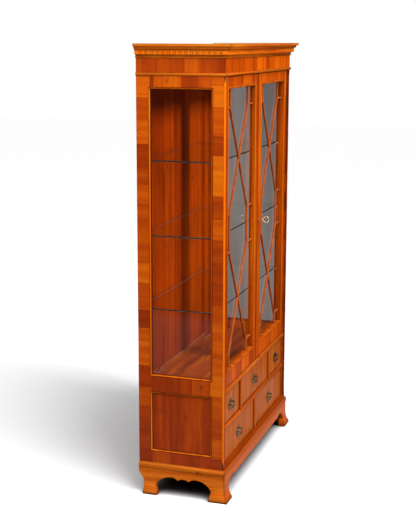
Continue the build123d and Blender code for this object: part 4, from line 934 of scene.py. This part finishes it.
# Turns a shape drawn with Z up so that its Z points to the front of the cabinet.
FACING_FRONT = ((1, 0, 0), (0, 0, -1), (0, 1, 0))
print("surface helpers ready")

# %% [markdown]
# ## Drawer pulls
# A pull is an oval plate with a raised rim and field, two posts with ball heads, and a bail that hangs from
# them. The plate is a stack of ovals, each with its own reach and height. The bail is one line of arcs, thick
# in the middle, so it is a tube whose radius changes along the way.

# %% Make the pulls
DRAWERS = ["upper_left", "upper_middle", "upper_right", "lower_left", "lower_right"]
POST_OFFSET = 0.024
POST_RISE = 0.004
POST_LENGTH = 0.009
POST_BALL = 0.0042
BAIL_WIRE = 0.0018
BAIL_BELLY = 0.0025
BAIL_PLAY = 0.0004
BAIL_CORNER = 0.0024
BAIL_SHOULDER = 0.015
BAIL_SHOULDER_TURN = math.radians(60)
# Each ring of the plate: how far it lies in from the edge, and how high it stands over the drawer.
PLATE_RINGS = [
    (0.0, 0.0), (0.0, 0.0014), (0.0006, 0.002), (0.0015, 0.0022), (0.0024, 0.002), (0.0032, 0.0014),
    (0.0042, 0.0012), (0.0076, 0.0012), (0.0088, 0.0014), (0.0098, 0.002), (0.011, 0.0026), (0.0122, 0.0028),
]
# Each ring of a post: its height over the drawer and its radius. The ball on top is given by its latitudes.
POST_RINGS = [(0.001, 0.0044), (0.0028, 0.0044), (0.0034, 0.0036), (0.004, 0.003), (0.0052, 0.0028)]
BALL_LATITUDES = np.linspace(math.radians(-50), math.radians(88), 12)


def plate_shape(half_width, half_height):
    """Ovals drawn in from the edge of the plate, closed behind and in the middle."""
    inset, height = np.array(PLATE_RINGS).T
    return stacked_shape(half_width - inset, half_height - inset, height, around=64)


def post_shape():
    """A turned post with a ball head."""
    heights = POST_LENGTH + POST_BALL * np.sin(BALL_LATITUDES)
    ball = np.stack([heights, POST_BALL * np.cos(BALL_LATITUDES)], axis=-1)
    return turned_shape(POST_RINGS + ball.tolist(), around=24)


def arc_points(centre, radius, start, end, count):
    """Points along an arc in XY."""
    angles = np.linspace(start, end, count)
    return np.stack([centre[0] + radius * np.cos(angles), centre[1] + radius * np.sin(angles)], axis=-1)


def bail_shape():
    """Pivots, corners, shoulders and a shallow bow, as one tube from the right post to the left."""
    arm = POST_OFFSET + POST_BALL + BAIL_WIRE + BAIL_PLAY
    turn = BAIL_SHOULDER_TURN
    joint_x = arm - BAIL_SHOULDER * (1 - math.cos(turn))
    joint_y = -BAIL_CORNER - BAIL_SHOULDER * math.sin(turn)
    bow = joint_x / math.cos(turn)
    half = np.concatenate([
        [(POST_OFFSET, 0)],
        arc_points((arm - BAIL_CORNER, -BAIL_CORNER), BAIL_CORNER, math.pi / 2, 0, count=9),
        arc_points((arm - BAIL_SHOULDER, -BAIL_CORNER), BAIL_SHOULDER, 0, -turn, count=13)[1:],
        arc_points((0, joint_y + bow * math.sin(turn)), bow, -turn, -math.pi / 2, count=11)[1:],
    ])
    path = np.concatenate([half, (half * (-1, 1))[-2::-1]])
    middle = np.clip(1 - np.abs(path[:, 0]) / joint_x, 0, 1) * (path[:, 1] < joint_y)
    radii = BAIL_WIRE + (BAIL_BELLY - BAIL_WIRE) * np.sin(middle * np.pi / 2)
    return tube_shape(path, radii)


def make_pull(drawer):
    """Plate with its posts on the drawer, and the bail on its own body."""
    low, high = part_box("pull_plate_" + drawer)
    middle = np.array([(low.x + high.x) / 2, high.y, (low.z + high.z) / 2])
    plate = plate_shape((high.x - low.x) / 2, (high.z - low.z) / 2)
    shapes = [moved(plate, FACING_FRONT, middle)]
    for offset in (-POST_OFFSET, POST_OFFSET):
        shapes.append(moved(post_shape(), FACING_FRONT, middle + (offset, 0, POST_RISE)))
    hung = [moved(bail_shape(), FACING_FRONT, middle + (0, -POST_LENGTH, POST_RISE))]
    for kind, body, made in (("plate_", "drawer_", shapes), ("bail_", "bail_", hung)):
        node = "pull_" + kind + drawer
        make_piece("brass_" + kind + drawer, made, antique_brass, body + drawer, "antique_brass", node)


for drawer in DRAWERS:
    make_pull(drawer)
print("pulls", len(DRAWERS))

# %% [markdown]
# ## The key
# The key stands in the right door with its ring upright. The ring is a closed tube, the shank is turned with
# a collar, and the bit is a small plate with a notch, hidden in the lock until the key is drawn.

# %% Make the key
KEY_RING = 0.0133
KEY_RING_WIRE = 0.0021
# Each ring of the shank: its distance from the bow's edge, and its radius.
SHANK_RINGS = [
    (-0.0012, 0.0016), (0.0, 0.0026), (0.0012, 0.0032), (0.002, 0.0036), (0.003, 0.0032), (0.0036, 0.0024),
    (0.005, 0.0023), (0.02, 0.0023), (0.021, 0.0026), (0.022, 0.0023),
]
BIT_LENGTH = 0.0055
BIT_THICKNESS = 0.002
BIT_OUTLINE = [
    (0, 0), (BIT_LENGTH, 0), (BIT_LENGTH, 0.008), (0.0035, 0.008), (0.0035, 0.005), (0.002, 0.005),
    (0.002, 0.008), (0, 0.008),
]


def ring_shape():
    """A circle of wire in XY, closed on itself."""
    turns = whole_turn(count=48)[:, None]
    angles = whole_turn(count=16)[None]
    reach = KEY_RING + KEY_RING_WIRE * np.cos(angles)
    rise = KEY_RING_WIRE * np.sin(angles) + 0 * turns
    points = np.stack([reach * np.cos(turns), reach * np.sin(turns), rise], axis=-1)
    index = np.arange(rise.size).reshape(rise.shape)
    ahead = np.roll(index, -1, axis=0)
    quads = np.stack([index, ahead, np.roll(ahead, -1, axis=1), np.roll(index, -1, axis=1)], axis=-1)
    return points.reshape(-1, 3), quads.reshape(-1, 4).tolist()


def bit_shape():
    """The bit's outline given its thickness."""
    outline = np.array(BIT_OUTLINE)
    count = len(outline)
    half = BIT_THICKNESS / 2
    layers = [np.column_stack([outline, np.full(count, level)]) for level in (-half, half)]
    index = np.arange(count)
    ahead = np.roll(index, -1)
    walls = np.stack([index, ahead, ahead + count, index + count], axis=-1).tolist()
    return np.concatenate(layers), walls + [index.tolist()[::-1], (index + count).tolist()]


def make_key():
    """Ring, shank and bit, set where the frame's key is."""
    low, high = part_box("key")
    x = (low.x + high.x) / 2
    z = (low.z + high.z) / 2
    ring_y = low.y + KEY_RING + KEY_RING_WIRE
    edge_y = ring_y + KEY_RING + KEY_RING_WIRE / 2
    upright = ((0, 0, 1), (1, 0, 0), (0, 1, 0))
    to_back = ((1, 0, 0), (0, 0, 1), (0, -1, 0))
    bit_turn = ((0, 0, 1), (1, 0, 0), (0, -1, 0))
    rings = SHANK_RINGS + [(high.y - edge_y, SHANK_RINGS[-1][1])]
    shapes = [
        moved(ring_shape(), upright, (x, ring_y, z)),
        moved(turned_shape(rings, around=24), to_back, (x, edge_y, z)),
        moved(bit_shape(), bit_turn, (x, high.y - BIT_LENGTH, z)),
    ]
    return make_piece("brass_key", shapes, brass, "key", "brass", "key")


key = make_key()
print("key", len(key.data.polygons), "faces")

# %% [markdown]
# ## Studio
# The cabinet stands on a white floor in white surroundings. The floor's paint takes the shadow, and a little
# light of its own makes it read as paper; near and under the cabinet both are darkened by a painted shadow.
# One distant lamp stands high to the left in front and another low at the left. Two near lamps light the
# front and the left side from over the top. A card on each side is seen only in the glass: it gives the panes
# something dark or grey to mirror and to show.

# %% Floor, surroundings, lamps and cards
FLOOR_SIZE = 40.0
FLOOR_GLOW = 0.28
FLOOR_REACH = 0.8
FLOOR_SAMPLES = 24
FLOOR_BOUNCE = 0.25
# The range of openness over which the paint and the floor's own light rise from black, a painted shadow.
PAINT_RANGE = (0.15, 0.55)
GLOW_RANGE = (0.35, 1.0)
WORLD_FILL = 0.06
# Each distant lamp: how far left of the front it stands and how high, in degrees, its strength and breadth.
LAMPS = {
    "top_lamp": (34, 56, 2.2, 30),
    "fill_lamp": (85, 20, 0.55, 70),
}
# Each near lamp: its place, the point it is turned to, its power, its width and its height.
NEAR_LAMPS = {
    "front_lamp": ((-0.6, -3.1, 2.75), (0.0, Y_FRONT, 1.3), 95.0, 0.4, 0.8),
    "side_lamp": ((-2.2, 0.0, 2.4), (-HALF_WIDTH, 0.0, 1.3), 26.0, 1.0, 1.0),
}
CARD_HEIGHT = 2.6
LEFT_DARK = (0.004, 0.004, 0.004, 1.0)
LEFT_FOOT = (0.38, 0.36, 0.36, 1.0)
LEFT_FOOT_EDGE = (0.48, 0.53)
RIGHT_DARK = (0.05, 0.045, 0.045, 1.0)
RIGHT_GREYS = [(0.3, (0.17, 0.14, 0.145, 1.0)), (0.7, (0.29, 0.245, 0.25, 1.0))]
RIGHT_STREAKS = (0.0, 5.0, 0.7)
# Light crosses two faces of a pane, so two panes are four crossings.
TWO_PANES = 4


def seen_rays(tree):
    """One where the camera looks, straight or by mirror or through glass."""
    path = node_values(tree, "ShaderNodeLightPath", {})
    return larger(larger(path["Is Camera Ray"], path["Is Glossy Ray"]), path["Is Transmission Ray"])


def make_sheet(name, paint, corners):
    """A sheet of one face with an empty material: the object and the material's tree."""
    mesh = bpy.data.meshes.new(name)
    mesh.from_pydata(corners, [], [(0, 1, 2, 3)])
    material, tree = empty_material(paint)
    mesh.materials.append(material)
    return place_object(name, mesh), tree


def make_floor():
    """A wide square at the height of the feet, with a painted shadow near the cabinet."""
    half = FLOOR_SIZE / 2
    corners = [(-half, -half, 0), (half, -half, 0), (half, half, 0), (-half, half, 0)]
    floor, tree = make_sheet("floor", "floor_paint", corners)
    shadow_openness = openness(tree, FLOOR_REACH, samples=FLOOR_SAMPLES)
    seen = seen_rays(tree)
    # Painted shadow: the paint and the floor's own light fall off where the floor is closed in.
    pale = seen.blend(FLOOR_BOUNCE, 1.0) * shadow_openness.fit(*PAINT_RANGE)
    paint = node_value(tree, "ShaderNodeBsdfDiffuse", {"Color": vector(pale, pale, pale)})
    glow = node_value(tree, "ShaderNodeEmission", {"Strength": seen * shadow_openness.fit(*GLOW_RANGE) * FLOOR_GLOW})
    both = node_value(tree, "ShaderNodeAddShader", {0: paint, 1: glow})
    put(tree, "ShaderNodeOutputMaterial", {"Surface": both})


def make_surroundings():
    """White for the eye, softer as a source of light."""
    world = bpy.data.worlds.new("white_room")
    bpy.context.scene.world = world
    world.use_nodes = True
    tree = world.node_tree
    tree.nodes.clear()
    white = {"Color": (1.0, 1.0, 1.0, 1.0), "Strength": seen_rays(tree).blend(WORLD_FILL, 1.0)}
    put(tree, "ShaderNodeOutputWorld", {"Surface": node_value(tree, "ShaderNodeBackground", white)})


def make_lamp(name, turn, rise, strength, spread):
    """A distant lamp, given by where it stands."""
    turn, rise = math.radians(turn), math.radians(rise)
    lamp = bpy.data.lights.new(name, "SUN")
    lamp.energy = strength
    lamp.angle = math.radians(spread)
    stand = Vector((-math.sin(turn) * math.cos(rise), -math.cos(turn) * math.cos(rise), math.sin(rise)))
    place_object(name, lamp).rotation_euler = stand.to_track_quat("Z", "Y").to_euler()


def make_near_lamp(name, place, aim, power, width, height):
    """An oblong lamp over the top of the cabinet, so that its light fades downwards."""
    lamp = bpy.data.lights.new(name, "AREA")
    lamp.energy = power
    lamp.shape = "RECTANGLE"
    lamp.size = width
    lamp.size_y = height
    holder = place_object(name, lamp)
    holder.location = place
    holder.rotation_euler = (Vector(place) - Vector(aim)).to_track_quat("Z", "Y").to_euler()
    holder.visible_glossy = False


def make_card(name, x, y_low, y_high, glow, see_through):
    """An upright card that blocks no light, seen by mirror and perhaps through two panes or more."""
    corners = [(x, y_low, 0), (x, y_high, 0), (x, y_high, CARD_HEIGHT), (x, y_low, CARD_HEIGHT)]
    card, tree = make_sheet(name, name, corners)
    path = node_values(tree, "ShaderNodeLightPath", {})
    through = path["Is Transmission Ray"]
    shine = node_value(tree, "ShaderNodeEmission", {"Color": glow(object_place(tree), through)})
    clear = node_value(tree, "ShaderNodeBsdfTransparent", {})
    open_door = (path["Transmission Depth"] < TWO_PANES - 0.5) * through
    put(tree, "ShaderNodeOutputMaterial", {"Surface": open_door.blend_shaders(shine, clear)})
    for ray in ("camera", "diffuse", "volume_scatter", "shadow"):
        setattr(card, "visible_" + ray, False)
    card.visible_transmission = see_through


def left_glow(point, _):
    """Nearly black, with a grey foot that gives the low part of the side window its veil."""
    foot = parts_of(point)[2].fit(*LEFT_FOOT_EDGE, 1.0, 0.0)
    return foot.blend_colours(LEFT_DARK, LEFT_FOOT)


def right_glow(point, through):
    """Dark by mirror, and through the panes a warm grey with faint upright streaks."""
    drawn = vector_step("MULTIPLY", point, RIGHT_STREAKS)
    return through.blend_colours(RIGHT_DARK, ramp(noise(drawn, 1.0, detail=2.0), RIGHT_GREYS))


make_floor()
make_surroundings()
for lamp, values in LAMPS.items():
    make_lamp(lamp, *values)
for lamp, values in NEAR_LAMPS.items():
    make_near_lamp(lamp, *values)
make_card("left_card", x=-1.6, y_low=-1.1, y_high=1.9, glow=left_glow, see_through=False)
make_card("right_card", x=1.3, y_low=-2.5, y_high=1.8, glow=right_glow, see_through=True)
print("studio ready")

# %% [markdown]
# ## Camera
# The picture was taken from the left, from about the height of the cornice. The camera's place and turn were
# worked out from the corners of the carcass, so they are given from the middle of its depth.

# %% Place the camera
CAMERA_PLACE = Vector((-4.7439, Y_MIDDLE - 1.4722, 1.92))
CAMERA_YAW = math.radians(17.798)
CAMERA_PITCH = math.radians(11.2549)
CAMERA_ROLL = math.radians(0.1649)
CAMERA_LENS = 77.071
QUARTER_TURN = math.pi / 2

aside = Matrix.Rotation(CAMERA_YAW - QUARTER_TURN, 4, "Z")
down = Matrix.Rotation(QUARTER_TURN - CAMERA_PITCH, 4, "X")
roll = Matrix.Rotation(CAMERA_ROLL, 4, "Z")
camera = place_object("camera", bpy.data.cameras.new("camera"))
camera.data.lens = CAMERA_LENS
camera.matrix_world = Matrix.Translation(CAMERA_PLACE) @ aside @ down @ roll
bpy.context.scene.camera = camera
bpy.context.scene.view_settings.view_transform = "Standard"
print("camera at", [round(value, 3) for value in camera.location])
